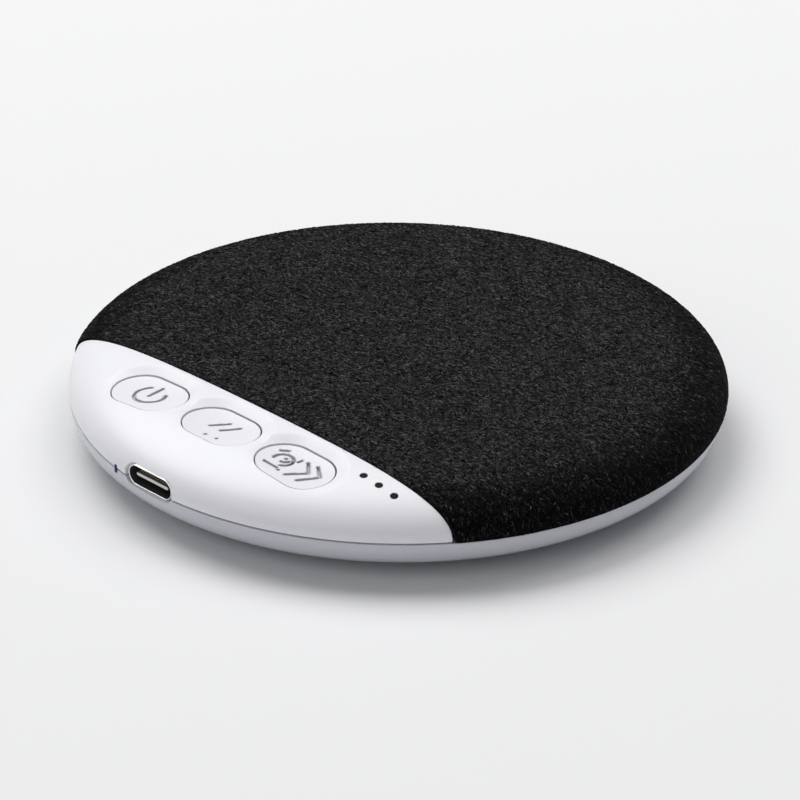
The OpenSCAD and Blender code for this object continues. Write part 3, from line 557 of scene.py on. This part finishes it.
# Works: the driver, board, battery, switches and wiring shut inside the housing, each as it comes from its
# maker. They are bought or pressed pieces, so each keeps its own shape and only takes its finish here: dark
# and light colour, patch size, roughness, grain size and depth, and for metals the metal share and stretch.
finishes = {
    "grille_black": ((0.018, 0.018, 0.019), (0.03, 0.03, 0.031), 6, (0.5, 0.65), 0.3, 0.02),
    "foam_cells": ((0.03, 0.03, 0.033), (0.11, 0.11, 0.12), 0.5, (0.85, 0.95), 0.35, 0.25),
    "solder_mask": ((0.012, 0.10, 0.045), (0.022, 0.16, 0.07), 2, (0.3, 0.42), 0.5, 0.01),
    "gold_flash": ((0.34, 0.24, 0.09), (0.46, 0.34, 0.15), 1, (0.25, 0.4), 0.2, 0.003, 1.0),
    "led_resin": ((0.80, 0.72, 0.42), (0.88, 0.83, 0.6), 1, (0.15, 0.3), 0.2, 0.003),
    "pouch_foil": ((0.52, 0.53, 0.55), (0.7, 0.71, 0.73), 4, (0.25, 0.42), 0.6, 0.02, 1.0),
    "tape": ((0.62, 0.58, 0.44), (0.76, 0.72, 0.57), 3, (0.6, 0.8), 0.4, 0.02),
    "fired_clay": ((0.40, 0.28, 0.17), (0.56, 0.42, 0.28), 1, (0.45, 0.6), 0.2, 0.01),
    "wire_red": ((0.36, 0.012, 0.012), (0.5, 0.025, 0.025), 3, (0.35, 0.5), 0.4, 0.01),
    "wire_black": ((0.012, 0.012, 0.012), (0.024, 0.024, 0.024), 3, (0.35, 0.5), 0.4, 0.01),
    "black_coat": ((0.022, 0.022, 0.025), (0.04, 0.04, 0.044), 4, (0.4, 0.55), 0.3, 0.015),
    "nickel": ((0.42, 0.41, 0.39), (0.56, 0.55, 0.53), 3, (0.22, 0.36), 0.2, 0.004, 1.0, (1, 6, 1)),
    "enamelled_wire": ((0.48, 0.17, 0.06), (0.66, 0.3, 0.13), 1, (0.25, 0.4), 0.2, 0.03, 0.6, (1, 1, 8)),
    "pressed_pulp": ((0.03, 0.03, 0.033), (0.065, 0.065, 0.07), 1.2, (0.75, 0.9), 0.3, 0.06),
    "paper_laminate": ((0.24, 0.11, 0.035), (0.36, 0.2, 0.08), 1, (0.5, 0.65), 0.3, 0.02),
    "screw_steel": ((0.46, 0.46, 0.47), (0.64, 0.64, 0.65), 1, (0.2, 0.35), 0.2, 0.006, 1.0),
    "moulded_chip": ((0.012, 0.012, 0.013), (0.022, 0.022, 0.024), 1, (0.5, 0.65), 0.15, 0.02),
    "ivory_nylon": ((0.70, 0.66, 0.54), (0.8, 0.77, 0.66), 2, (0.35, 0.5), 0.3, 0.01),
    "smoked_clear": ((0.008, 0.006, 0.006), (0.018, 0.013, 0.012), 1, (0.5, 0.65), 0.3, 0.002),
}
finish_of = {
    "grille_plate": "grille_black",
    "foam_pad": "foam_cells",
    "driver_gasket": "foam_cells",
    "circuit_board": "solder_mask",
    "socket_contacts": "gold_flash",
    "indicator_leds": "led_resin",
    "charge_led": "led_resin",
    "battery_cell": "pouch_foil",
    "battery_pad": "tape",
    "capacitors": "fired_clay",
    "battery_lead_red": "wire_red",
    "speaker_lead_red": "wire_red",
    "battery_lead_black": "wire_black",
    "speaker_lead_black": "wire_black",
    "driver_frame": "black_coat",
    "driver_yoke": "nickel",
    "driver_magnet": "nickel",
    "driver_top_plate": "nickel",
    "voice_coil": "enamelled_wire",
    "diaphragm": "pressed_pulp",
    "dust_cap": "pressed_pulp",
    "driver_terminals": "paper_laminate",
    "shell_screws": "screw_steel",
    "board_screws": "screw_steel",
    "panel_screws": "screw_steel",
    "controller_chip": "moulded_chip",
    "amplifier_chip": "moulded_chip",
    "charger_chip": "moulded_chip",
    "power_switch": "moulded_chip",
    "sound_switch": "moulded_chip",
    "timer_switch": "moulded_chip",
    "battery_plug": "ivory_nylon",
    "battery_header": "ivory_nylon",
    "power_plunger": "ivory_nylon",
    "sound_plunger": "ivory_nylon",
    "timer_plunger": "ivory_nylon",
    "indicator_guide": "smoked_clear",
}
works = {name: mottled(name, *values) for name, values in finishes.items()}
works["smoked_clear"].node_tree.nodes["Principled BSDF"].inputs["Specular IOR Level"].default_value = 0.05
for name, finish in finish_of.items():
    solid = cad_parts[name].data
    solid.materials.clear()
    solid.materials.append(works[finish])

# Surround: the driver's rolled edge, moulded in soft rubber with a flat lip on each side. One lip is glued to
# the frame and the other to the cone, so the roll between them stretches as the cone moves.
rubber_t = 0.3
lip_w = 0.9
surround_black = (0.022, 0.022, 0.024)
surround_steps, roll_steps = 120, 15


def eased(t):
    """A smooth step from 0 to 1."""
    t = np.clip(t, 0, 1)
    return t * t * (3 - 2 * t)


low, high = (np.array(corner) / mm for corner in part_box("surround"))
driver_x, driver_y = (low[:2] + high[:2]) / 2
roll_r = high[2] - low[2]
frame_lip = (high[0] - low[0]) / 2 - lip_w
cone_lip = frame_lip - 2 * roll_r
lip_turn = math.asin(rubber_t / roll_r)
roll_under = disc(roll_r - rubber_t, 2 * roll_steps)[roll_steps::-1]
roll_turn = np.linspace(lip_turn, math.pi - lip_turn, roll_steps)
roll_over = roll_r * np.stack([np.cos(roll_turn), np.sin(roll_turn)], axis=1)
roll_mid = np.array([cone_lip + roll_r, 0])
section = np.concatenate([
    [(cone_lip - lip_w, 0)],
    roll_mid + roll_under,
    [(frame_lip + lip_w, 0), (frame_lip + lip_w, rubber_t)],
    roll_mid + roll_over,
    [(cone_lip - lip_w, rubber_t)],
])
points, faces = [], []
for i, (r, z) in enumerate(section):
    points += [(driver_x + x, driver_y + y, low[2] + z) for x, y in disc(r, surround_steps)]
    faces += band(i * surround_steps, (i + 1) % len(section) * surround_steps, surround_steps)
surround = mesh_piece("surround_roll", points, faces)
surround.data.materials.append(
    mottled("soft_rubber", shaded(surround_black, 0.55), surround_black, 3, (0.5, 0.65), 0.3, 0.01)
)
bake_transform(surround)
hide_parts("surround")

# Felt: charcoal cloth with a short loose nap, pressed to the dome over foam. It stands a little proud of the
# panel, and its hem is rolled under along the panel's straight edge and down at the seam.
crown_h, crown_flank, crown_shoulder = 6.3, 5.6, 2.3
seam_gap = 0.25
cloth_proud, cloth_t = 0.3, 0.9
nap_room = 0.13
cloth_front = -28.38
cloth_roll = 0.08
hem_drop = 0.08
cloth_step = 0.55
edge_points = 240
lumps = 0.035
lump_size, lump_finer, finer_share = 1.1, 2.3, 0.5
strand_layers = ((1.1, 0.26), (0.8, 0.2))
strand_draw = 0.3
strand_relief = 0.14
felt_dark, felt_mid, felt_light = (0.0023, 0.0024, 0.0026), (0.023, 0.0236, 0.0244), (0.067, 0.068, 0.07)
flank_from, flank_to, flank_painted_shade = 39, 47.5, 0.2


def crown(rim, height):
    """Half section of the domed top, with a straight drop below the seam."""
    r = rim * np.sin(quarter) ** (2 / crown_flank)
    z = height * np.cos(quarter) ** (2 / crown_shoulder)
    return profile(np.concatenate([r, [rim]]), np.concatenate([z, [-1]]))


def straight_edge(section, y, height):
    """The line across a domed top at one y, laid out flat from right to left, and the x of its right end,
    where it comes down to a height over the widest level."""
    _, r, z = section
    end = math.sqrt(float(np.interp(-height, -z, r)) ** 2 - y**2)
    x = end * np.cos(np.linspace(0, math.pi, edge_points))
    return from_plan(section, 1, np.stack([x, np.full(edge_points, y)], axis=1)), end


cloth = crown(body_r + cloth_proud, crown_h + cloth_proud - nap_room)
cloth_hem = seam_gap - seam_drop + cloth_roll - hem_drop
front_line, front_x = straight_edge(cloth, cloth_front + cloth_roll, cloth_hem)
turn_end = math.atan2(cloth_front + cloth_roll, front_x)
around = np.arange(turn_end, math.pi - turn_end, rim_step / body_r)[1:]
cloth_rim = np.concatenate([from_bearing(cloth, 1, cloth_hem, around), front_line[::-1]])
smooth_cloth = swept(cloth, 1)


def lumpy_cloth(flat):
    """The cloth's face with the slight unevenness of pressed fibre."""
    face = smooth_cloth(flat)
    spots = [Vector(p) / lump_size for p in face]
    lift = [noise.noise(at) + finer_share * noise.noise(at * lump_finer) for at in spots]
    return face + np.outer(lift, [0, 0, lumps])


felt = moulded("felt_top", lumpy_cloth, [(cloth_rim, cloth_roll, cloth_t, False)], cloth_step, cloth_t)
felt_finish, nodes, links, shader = bare_finish(
    "felt_wool", {"Roughness": 0.95, "Specular IOR Level": 0.0, "Sheen Weight": 0.05, "Sheen Roughness": 0.5}
)
place = add_node(nodes, "ShaderNodeTexCoord")
strands = []
for patch, fine in strand_layers:
    patches = add_node(nodes, "ShaderNodeTexVoronoi", {"Scale": 1 / (patch * mm)})
    angle = add_node(nodes, "ShaderNodeSeparateColor")
    spin = add_node(nodes, "ShaderNodeMath", {1: 2 * math.pi}, "MULTIPLY")
    swing = add_node(nodes, "ShaderNodeVectorRotate")
    swing.rotation_type = "Z_AXIS"
    comb = add_node(nodes, "ShaderNodeMapping", {"Scale": (strand_draw, 1, 1)})
    strand = add_node(nodes, "ShaderNodeTexNoise", {"Scale": 1 / (fine * mm), "Detail": 2})
    links.new(place.outputs["Object"], patches.inputs["Vector"])
    links.new(patches.outputs["Color"], angle.inputs["Color"])
    links.new(angle.outputs["Red"], spin.inputs[0])
    links.new(place.outputs["Object"], swing.inputs["Vector"])
    links.new(spin.outputs[0], swing.inputs["Angle"])
    links.new(swing.outputs["Vector"], comb.inputs["Vector"])
    links.new(comb.outputs["Vector"], strand.inputs["Vector"])
    strands.append(strand)
uppermost = add_node(nodes, "ShaderNodeMath", operation="MAXIMUM")
tint = colour_ramp(nodes, (0.5, felt_dark), (0.68, felt_light), (0.58, felt_mid))
relief = add_node(nodes, "ShaderNodeBump", {"Strength": 0.9, "Distance": strand_relief * mm})
reach = add_node(nodes, "ShaderNodeVectorMath", operation="LENGTH")
links.new(strands[0].outputs["Fac"], uppermost.inputs[0])
links.new(strands[1].outputs["Fac"], uppermost.inputs[1])
links.new(uppermost.outputs[0], tint.inputs["Fac"])
links.new(place.outputs["Object"], reach.inputs[0])
# Painted shade: the felt's colour darkens over its flank, towards the rim.
toned(felt_finish, tint.outputs["Color"], reach.outputs["Value"], flank_from, flank_to, (1, flank_painted_shade))
links.new(uppermost.outputs[0], relief.inputs["Height"])
links.new(relief.outputs["Normal"], shader.inputs["Normal"])
felt.data.materials.append(felt_finish)
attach(felt, "housing")
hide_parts("fabric_cover")

# Nap: the loose wool fibres that stand off the felt. Each is a thin bent splinter, lying mostly along the
# cloth's grain and combed down over the rim, with one end lifted.
nap_count = 49000
nap_spare = 1.7
nap_seed = 7
nap_length = (0.5, 1.2)
nap_half = (0.05, 0.115)
nap_lift = (0.02, 0.18)
nap_roll, nap_bow = 0.6, 0.16
root_sink, waist_rise = 0.03, 0.06
front_room, seam_room = 0.12, 0.1
nap_cells = 222
grain_share, grain_turn, grain_spread = 0.65, 0.12, 0.42
comb_from, comb_to = 40, 47
comb_share, comb_flat = 0.8, 0.6
cloth_lean, own_lean = 0.8, 0.3
cloud_size = 2.4
shade_mid, shade_spread, cloud_shade, comb_painted_shade = 0.5, 0.32, 0.12, 0.42
fibre_dark, fibre_mid, fibre_light = (0.005, 0.0052, 0.0056), (0.026, 0.0266, 0.0274), (0.09, 0.091, 0.093)

draw = np.random.default_rng(nap_seed)
low, high = cloth_rim.min(axis=0), cloth_rim.max(axis=0)
roots = draw.uniform(low, high, (int(nap_count * nap_spare), 2))
roots = roots[inside(roots, cloth_rim)]
count = len(roots)
root = lumpy_cloth(roots)
along, normal = face_axes(smooth_cloth, roots)
across = np.cross(normal, along)
heading = draw.uniform(0, 2 * math.pi, count)
grain = draw.normal(grain_turn, grain_spread, count) + math.pi * draw.integers(0, 2, count)
heading = np.where(draw.random(count) < grain_share, grain, heading)
combed = eased((np.hypot(root[:, 0], root[:, 1]) - comb_from) / (comb_to - comb_from))
outward = np.arctan2(roots[:, 1], roots[:, 0]) + draw.normal(0, grain_spread, count)
heading = np.where(draw.random(count) < comb_share * combed, outward, heading)[:, None]
lie = np.cos(heading) * along + np.sin(heading) * across
beside = np.cross(normal, lie)
length = draw.uniform(*nap_length, (count, 1))
lift = draw.uniform(*nap_lift, (count, 1)) * (1 - comb_flat * combed[:, None])
half = draw.uniform(*nap_half, (count, 1))
roll = draw.uniform(-nap_roll, nap_roll, (count, 1))
bow = draw.uniform(-nap_bow, nap_bow, (count, 1)) * length
flat_side = half * (np.cos(roll) * beside + np.sin(roll) * normal)
base = root - lie * length / 2 - normal * root_sink
waist = root + beside * bow + normal * (lift * length / 2 + waist_rise)
tip = root + lie * length / 2 + normal * (lift * length)
lowest = np.minimum(base, tip)
kept = (lowest[:, 1] > cloth_front - front_room) & (lowest[:, 2] > wide_z - seam_drop + seam_room)
kept = np.flatnonzero(kept)[:nap_count]
count = len(kept)
splinter = np.stack([base, waist - flat_side, waist + flat_side, tip], axis=1)[kept]
sides = np.array([(0, 1, 2), (0, 3, 1), (0, 2, 3), (1, 3, 2)])
nap_faces = (np.arange(count)[:, None, None] * 4 + sides).reshape(-1, 3)
own = unit((splinter - splinter.mean(axis=1, keepdims=True)).reshape(-1, 3))
nap_normals = unit(cloth_lean * np.repeat(normal[kept], 4, axis=0) + own_lean * own)
nap = mesh_piece("felt_nap", splinter.reshape(-1, 3), nap_faces, nap_normals)
cloud = np.array([noise.noise(Vector(p) / cloud_size) for p in root[kept]])
# Painted shade: fibres combed over the flank are made darker.
shade = draw.normal(shade_mid, shade_spread, count) + cloud_shade * cloud - comb_painted_shade * combed[kept]
shade = np.repeat(np.clip(shade, 0, 1), 4)
nap.data.attributes.new("shade", "FLOAT", "POINT").data.foreach_set("value", shade)
# Each fibre has a cell of its own on the UV map
cell = np.stack([np.arange(count) % nap_cells, np.arange(count) // nap_cells], axis=1)
corner = np.tile([(0.25, 0.5), (0.5, 0.25), (0.5, 0.75), (0.75, 0.5)], (count, 1))
spots = ((np.repeat(cell, 4, axis=0) + corner) / nap_cells)[nap_faces.ravel()]
nap.data.uv_layers.new(name="OFBake").uv.foreach_set("vector", spots.ravel())
nap_finish, nodes, links, shader = bare_finish(
    "felt_fibre", {"Roughness": 0.85, "Specular IOR Level": 0.0, "Sheen Weight": 0.06, "Sheen Roughness": 0.4}
)
own_shade = add_node(nodes, "ShaderNodeAttribute")
own_shade.attribute_name = "shade"
tint = colour_ramp(nodes, (0, fibre_dark), (1, fibre_light), (0.5, fibre_mid))
links.new(own_shade.outputs["Fac"], tint.inputs["Fac"])
links.new(tint.outputs["Color"], shader.inputs["Base Color"])
nap.data.materials.append(nap_finish)
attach(nap, "housing")

# Control panel: the white segment in front of the felt, moulded in satin plastic with a rounded straight
# edge. Three long holes with hollowed surrounds take the buttons, and three fine holes the indicators.
panel_front = -28.4
panel_wall = 1.8
panel_step = 0.7
panel_white = (0.885, 0.885, 0.93)
satin = 0.36
button_l, button_w = 12.3, 8.2
button_pitch = 14.9
button_y = -35.2
button_gap = 0.22
hole_edge, hole_step = 0.06, 0.14
dish_depth, dish_reach, dish_ease = 0.7, 1.65, 1.1
sink_span = 1.1
ring_from, ring_past, ring_pitch, ring_step = 0.12, 0.2, 0.18, 0.2
light_r, light_edge = 0.575, 0.07
light_count, light_pitch, light_steps = 3, 2.95, 40
light_x, light_y = 24.0, -30.9


def bar(length, width, step, centre=(0, 0)):
    """Points round a bar with round ends."""
    straight = (length - width) / 2
    run = np.linspace(-straight, straight, int(2 * straight / step) + 2)[:-1]
    bend = np.linspace(-math.pi / 2, math.pi / 2, int(math.pi * width / 2 / step) + 2)[:-1]
    end = np.stack([straight + width / 2 * np.cos(bend), width / 2 * np.sin(bend)], axis=1)
    half = np.concatenate([np.stack([run, np.full(len(run), -width / 2)], axis=1), end])
    return np.concatenate([half, -half]) + np.array(centre)


def button_ring(out, step, centre):
    """A line round a button at some distance from its edge, on the dome's flat layout."""
    return from_plan(dome, 1, bar(button_l + 2 * out, button_w + 2 * out, step, centre))


def beyond_button(plan):
    """How far points in plan lie outside a button's edge."""
    past_end = np.maximum(np.abs(plan[:, 0]) - (button_l - button_w) / 2, 0)
    return np.hypot(past_end, plan[:, 1]) - button_w / 2


def sunk(plan):
    """How far the button's edge lies below the dome: most on the side of the felt, and hardly at the rim."""
    return dish_depth * eased((plan[:, 1] / (button_w / 2) + sink_span) / (2 * sink_span))


button_at = {"power": -button_pitch, "sound": 0.0, "timer": button_pitch}
dome = crown(body_r, crown_h)
smooth_dome = swept(dome, 1)


def panel_face(flat):
    """The dome with a hollow round each button."""
    face = smooth_dome(flat)
    for x in button_at.values():
        plan = face[:, :2] - [x, button_y]
        slope = np.clip(1 - (beyond_button(plan) - button_gap) / dish_reach, 0, 1) ** dish_ease
        face[:, 2] -= sunk(plan) * slope
    return face


panel_hem = seam_gap - seam_drop + rim_edge
front_line, front_x = straight_edge(dome, panel_front - rim_edge, panel_hem)
panel_rim = from_front(dome, 1, front_rim(1, panel_hem, rim_edge, front_x))
panel_loops = [(np.concatenate([panel_rim, front_line[1:-1]]), rim_edge, panel_wall, False)]
clear_of_cap = button_gap + hole_edge
rings = []
for x in button_at.values():
    centre = (x, button_y)
    panel_loops.append((button_ring(clear_of_cap, hole_step, centre), hole_edge, panel_wall, True))
    for out in np.arange(clear_of_cap + ring_from, dish_reach + ring_past, ring_pitch):
        rings.append(button_ring(out, ring_step, centre))
for i in range(light_count):
    hole = disc(light_r + light_edge, light_steps, (light_x + i * light_pitch, light_y))
    panel_loops.append((from_plan(dome, 1, hole), light_edge, panel_wall, True))
panel = moulded("panel_face", panel_face, panel_loops, panel_step, panel_wall, fill=rings)
panel.data.materials.append(moulded_white("panel_satin", panel_white, satin))
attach(panel, "housing")
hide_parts("control_panel")

# Buttons: three long white caps that sit just below their surrounds and are hollowed for a fingertip. Their
# signs are grooves moulded into the caps: a power ring, a pair of sound strokes over two dots, and a clock
# with two forward arrows.
cap_skirt = 2.0
cap_wall = 0.6
cap_edge = 0.07
cap_sink = 0.12
cap_hollow = 0.32
cap_step = 0.32
groove_r = 0.18
groove_depth = 0.46
groove_slope = 0.07
groove_end_steps, dot_steps = 9, 16
button_white = (0.85, 0.85, 0.893)
groove_painted_shade = (0.52, 0.52, 0.54)


def arc(centre, radius, start, end, step=6):
    """Points along an arc, from its angles in degrees."""
    turn = np.radians(np.arange(start, end + step / 2, step))
    return np.array(centre) + radius * np.stack([np.cos(turn), np.sin(turn)], axis=1)


def stroke(*corners, step=0.25):
    """A line through corners, with points along it."""
    runs = []
    for a, b in zip(corners, corners[1:]):
        share = np.linspace(0, 1, max(int(math.dist(a, b) / step), 1), endpoint=False)
        runs.append(np.array(a) + share[:, None] * np.subtract(b, a))
    return np.concatenate([*runs, [corners[-1]]])


signs = {
    "power": [arc((0.15, -0.1), 2.33, -228, 34), stroke((0.18, -0.4), (0.17, 2.4))],
    "sound": [
        stroke((-1.65, -0.58), (-0.01, 1.71)),
        stroke((0.52, -0.54), (1.98, 1.82)),
        np.array([(-0.11, -2.9)]),
        np.array([(1.9, -2.71)]),
    ],
    "timer": [
        arc((-2.4, 0.05), 1.5, -60, 200),
        np.array([(-2.35, 0.6)]),
        arc((-2.3, 0.35), 0.75, -95, -5),
        stroke((-4.4, 1.5), (-3.55, 2.26)),
        stroke((-0.6, 1.2), (-0.5, 1.8)),
        stroke((-3.95, -2.1), (-1.6, -2.0)),
        np.array([(-0.98, -2.28)]),
        stroke((0.52, -2.4), (2.48, 0.2), (0.6, 2.0)),
        stroke((2.64, -2.25), (4.38, 0.55), (2.3, 2.2)),
    ],
}


def groove_outline(line, reach):
    """A closed line round a stroke at some distance from it."""
    if len(line) == 1:
        return line + disc(reach, dot_steps)
    bend = np.linspace(0, math.pi, groove_end_steps)
    ahead = unit(np.gradient(line, axis=0))
    beside = np.stack([-ahead[:, 1], ahead[:, 0]], axis=1)
    there = line[:-1] - reach * beside[:-1]
    end = [line[-1] + reach * (math.cos(a) * -beside[-1] + math.sin(a) * ahead[-1]) for a in bend]
    back_again = (line[1:-1] + reach * beside[1:-1])[::-1]
    start = [line[0] + reach * (math.cos(a) * beside[0] - math.sin(a) * ahead[0]) for a in bend]
    return np.concatenate([there, end, back_again, start])


def from_strokes(plan, lines):
    """Distance of points in plan from the nearest stroke."""
    nearest = np.full(len(plan), np.inf)
    for line in lines:
        if len(line) == 1:
            nearest = np.minimum(nearest, np.hypot(*(plan - line[0]).T))
        for a, b in zip(line, line[1:]):
            share = np.clip((plan - a) @ (b - a) / ((b - a) @ (b - a)), 0, 1)
            nearest = np.minimum(nearest, np.hypot(*(plan - a - share[:, None] * (b - a)).T))
    return nearest


cap_white = moulded_white("button_satin", button_white, satin)
# The grooves' steep walls take a grey as painted shade.
sign_painted_shade = mottled("sign_painted_shade", shaded(groove_painted_shade, 0.9), groove_painted_shade, 1, (0.4, 0.5), 0.2, 0.004)
for name, x in button_at.items():
    centre = np.array([x, button_y])

    def cap_face(flat):
        """The dome sunk to the cap's level, with its hollow and its grooves."""
        face = smooth_dome(flat)
        plan = face[:, :2] - centre
        from_edge = np.clip(1 + beyond_button(plan) / (button_w / 2), 0, 1)
        within_groove = groove_r + groove_slope / 2 - from_strokes(plan, signs[name])
        groove = groove_depth * eased(within_groove / groove_slope)
        face[:, 2] -= sunk(plan) + cap_sink + cap_hollow * (1 - from_edge**2) + groove
        return face

    def on_groove_wall(flat):
        """Which flat points lie on the steep sides of the grooves, which are painted with shade."""
        from_line = from_strokes(smooth_dome(flat)[:, :2] - centre, signs[name])
        return np.abs(from_line - groove_r) < groove_slope / 2

    grooves = [
        from_plan(dome, 1, groove_outline(line, groove_r + at) + centre)
        for line in signs[name]
        for at in (groove_slope / 2, -groove_slope / 2)
    ]
    cap = moulded(
        f"{name}_cap",
        cap_face,
        [(button_ring(-cap_edge, ring_step, centre), cap_edge, cap_skirt, True)],
        cap_step,
        cap_wall,
        lines=grooves,
        second=on_groove_wall,
    )
    cap.data.materials[0] = cap_white
    cap.data.materials[1] = sign_painted_shade
    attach(cap, f"{name}_key")
    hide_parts(f"{name}_button")

# Charging socket: a drawn steel sleeve with a rolled mouth, soldered to the board and set back in its
# cut-out. Inside it a thin moulded tongue stands on a block that closes the sleeve's rear end.
socket_y = -47.373
socket_l = 6.4
socket_z = wide_z + port_rise
sleeve_wall, sleeve_step = 0.22, 0.2
mouth = [(0, 0.1), (0.02, 0.03), (0.07, 0), (0.15, 0), (0.2, 0.03), (sleeve_wall, 0.1)]
tongue_w, tongue_t, tongue_setback, tongue_step = 6.7, 0.7, 0.5, 0.15
tongue_nose = [(0, 0.14), (0.03, 0.05), (0.12, 0)]
block_l, block_gap = 1.4, 0.05
steel_dark, steel_light = (0.60, 0.60, 0.61), (0.74, 0.74, 0.75)
inside_painted_shade_dark, inside_painted_shade_light = (0.015, 0.015, 0.016), (0.03, 0.03, 0.032)
tongue_dark, tongue_light = (0.012, 0.012, 0.013), (0.024, 0.024, 0.026)
tip_dark, tip_light = (0.74, 0.73, 0.71), (0.84, 0.83, 0.81)


def drawn_bar(name, stations, closed):
    """A mesh through bars across the socket, each (length, width, depth behind the mouth). It closes on
    itself or has flat ends."""
    count = len(bar(socket_w, socket_h, sleeve_step))
    turn = np.linspace(0, 1, count, endpoint=False)
    points, faces = [], []
    for length, width, depth in stations:
        ring = bar(length, width, sleeve_step if length > tongue_w else tongue_step)
        ring = np.concatenate([ring, ring[:1]])
        run = np.concatenate([[0], np.cumsum(np.hypot(*np.diff(ring, axis=0).T))])
        x, z = (np.interp(turn * run[-1], run, ring[:, i]) for i in range(2))
        points += [(port_x + a, socket_y + depth, socket_z + b) for a, b in zip(x, z)]
    last = len(points) - count
    for start in range(0, last, count):
        faces += band(start, start + count, count)
    if closed:
        faces += band(last, 0, count)
    else:
        faces.append(range(count)[::-1])
        faces.append(range(last, last + count))
    return mesh_piece(name, points, faces)


def inset(amount, depth, length=socket_w, width=socket_h):
    """A bar drawn in on all sides, at a depth behind the mouth."""
    return length - 2 * amount, width - 2 * amount, depth


sleeve_stations = [inset(0, socket_l), *(inset(a, d) for a, d in mouth), inset(sleeve_wall, socket_l)]
sleeve = drawn_bar("socket_sleeve", sleeve_stations, True)
sleeve.data.materials.append(
    mottled("drawn_steel", steel_dark, steel_light, 1.5, (0.16, 0.28), 0.25, 0.004, 1.0, (1, 0.3, 1))
)
sleeve.data.materials.append(
    mottled("sleeve_inside_painted_shade", inside_painted_shade_dark, inside_painted_shade_light, 1.5, (0.5, 0.65), 0.25, 0.004)
)
# Painted shade: the sleeve's inner wall is coloured near black, as shade in the socket's deep inside.
bands = np.arange(len(sleeve_stations))
inner_wall = np.repeat(bands == len(mouth), len(sleeve.data.polygons) // len(bands))
sleeve.data.polygons.foreach_set("material_index", inner_wall.astype(np.int32))
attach(sleeve, "housing")
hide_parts("socket_shell")
tongue_stations = [
    inset(sleeve_wall + block_gap, socket_l),
    inset(sleeve_wall + block_gap, socket_l - block_l),
    inset(0, socket_l - block_l, tongue_w, tongue_t),
    *(inset(a, tongue_setback + d, tongue_w, tongue_t) for a, d in tongue_nose),
]
tongue = drawn_bar("socket_blade", tongue_stations, False)
tongue.data.materials.append(mottled("tongue_black", tongue_dark, tongue_light, 1, (0.5, 0.65), 0.2, 0.006))
tongue.data.materials.append(mottled("tongue_tip", tip_dark, tip_light, 1, (0.35, 0.5), 0.2, 0.006))
tongue.data.polygons[-1].material_index = 1
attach(tongue, "housing")
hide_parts("socket_tongue")

# Charge light: a rod of dark blue clear plastic that leads the light of the charge LED to the rim. Its end
# shows as a small slot across the seam, left of the socket.
pipe_dark, pipe_light = (0.006, 0.018, 0.07), (0.012, 0.035, 0.12)
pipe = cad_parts["charge_light_pipe"].data
pipe.materials.clear()
pipe.materials.append(mottled("blue_clear", pipe_dark, pipe_light, 1, (0.1, 0.2), 0.3, 0.002))
pipe.materials[0].node_tree.nodes["Principled BSDF"].inputs["Specular IOR Level"].default_value = 0.1
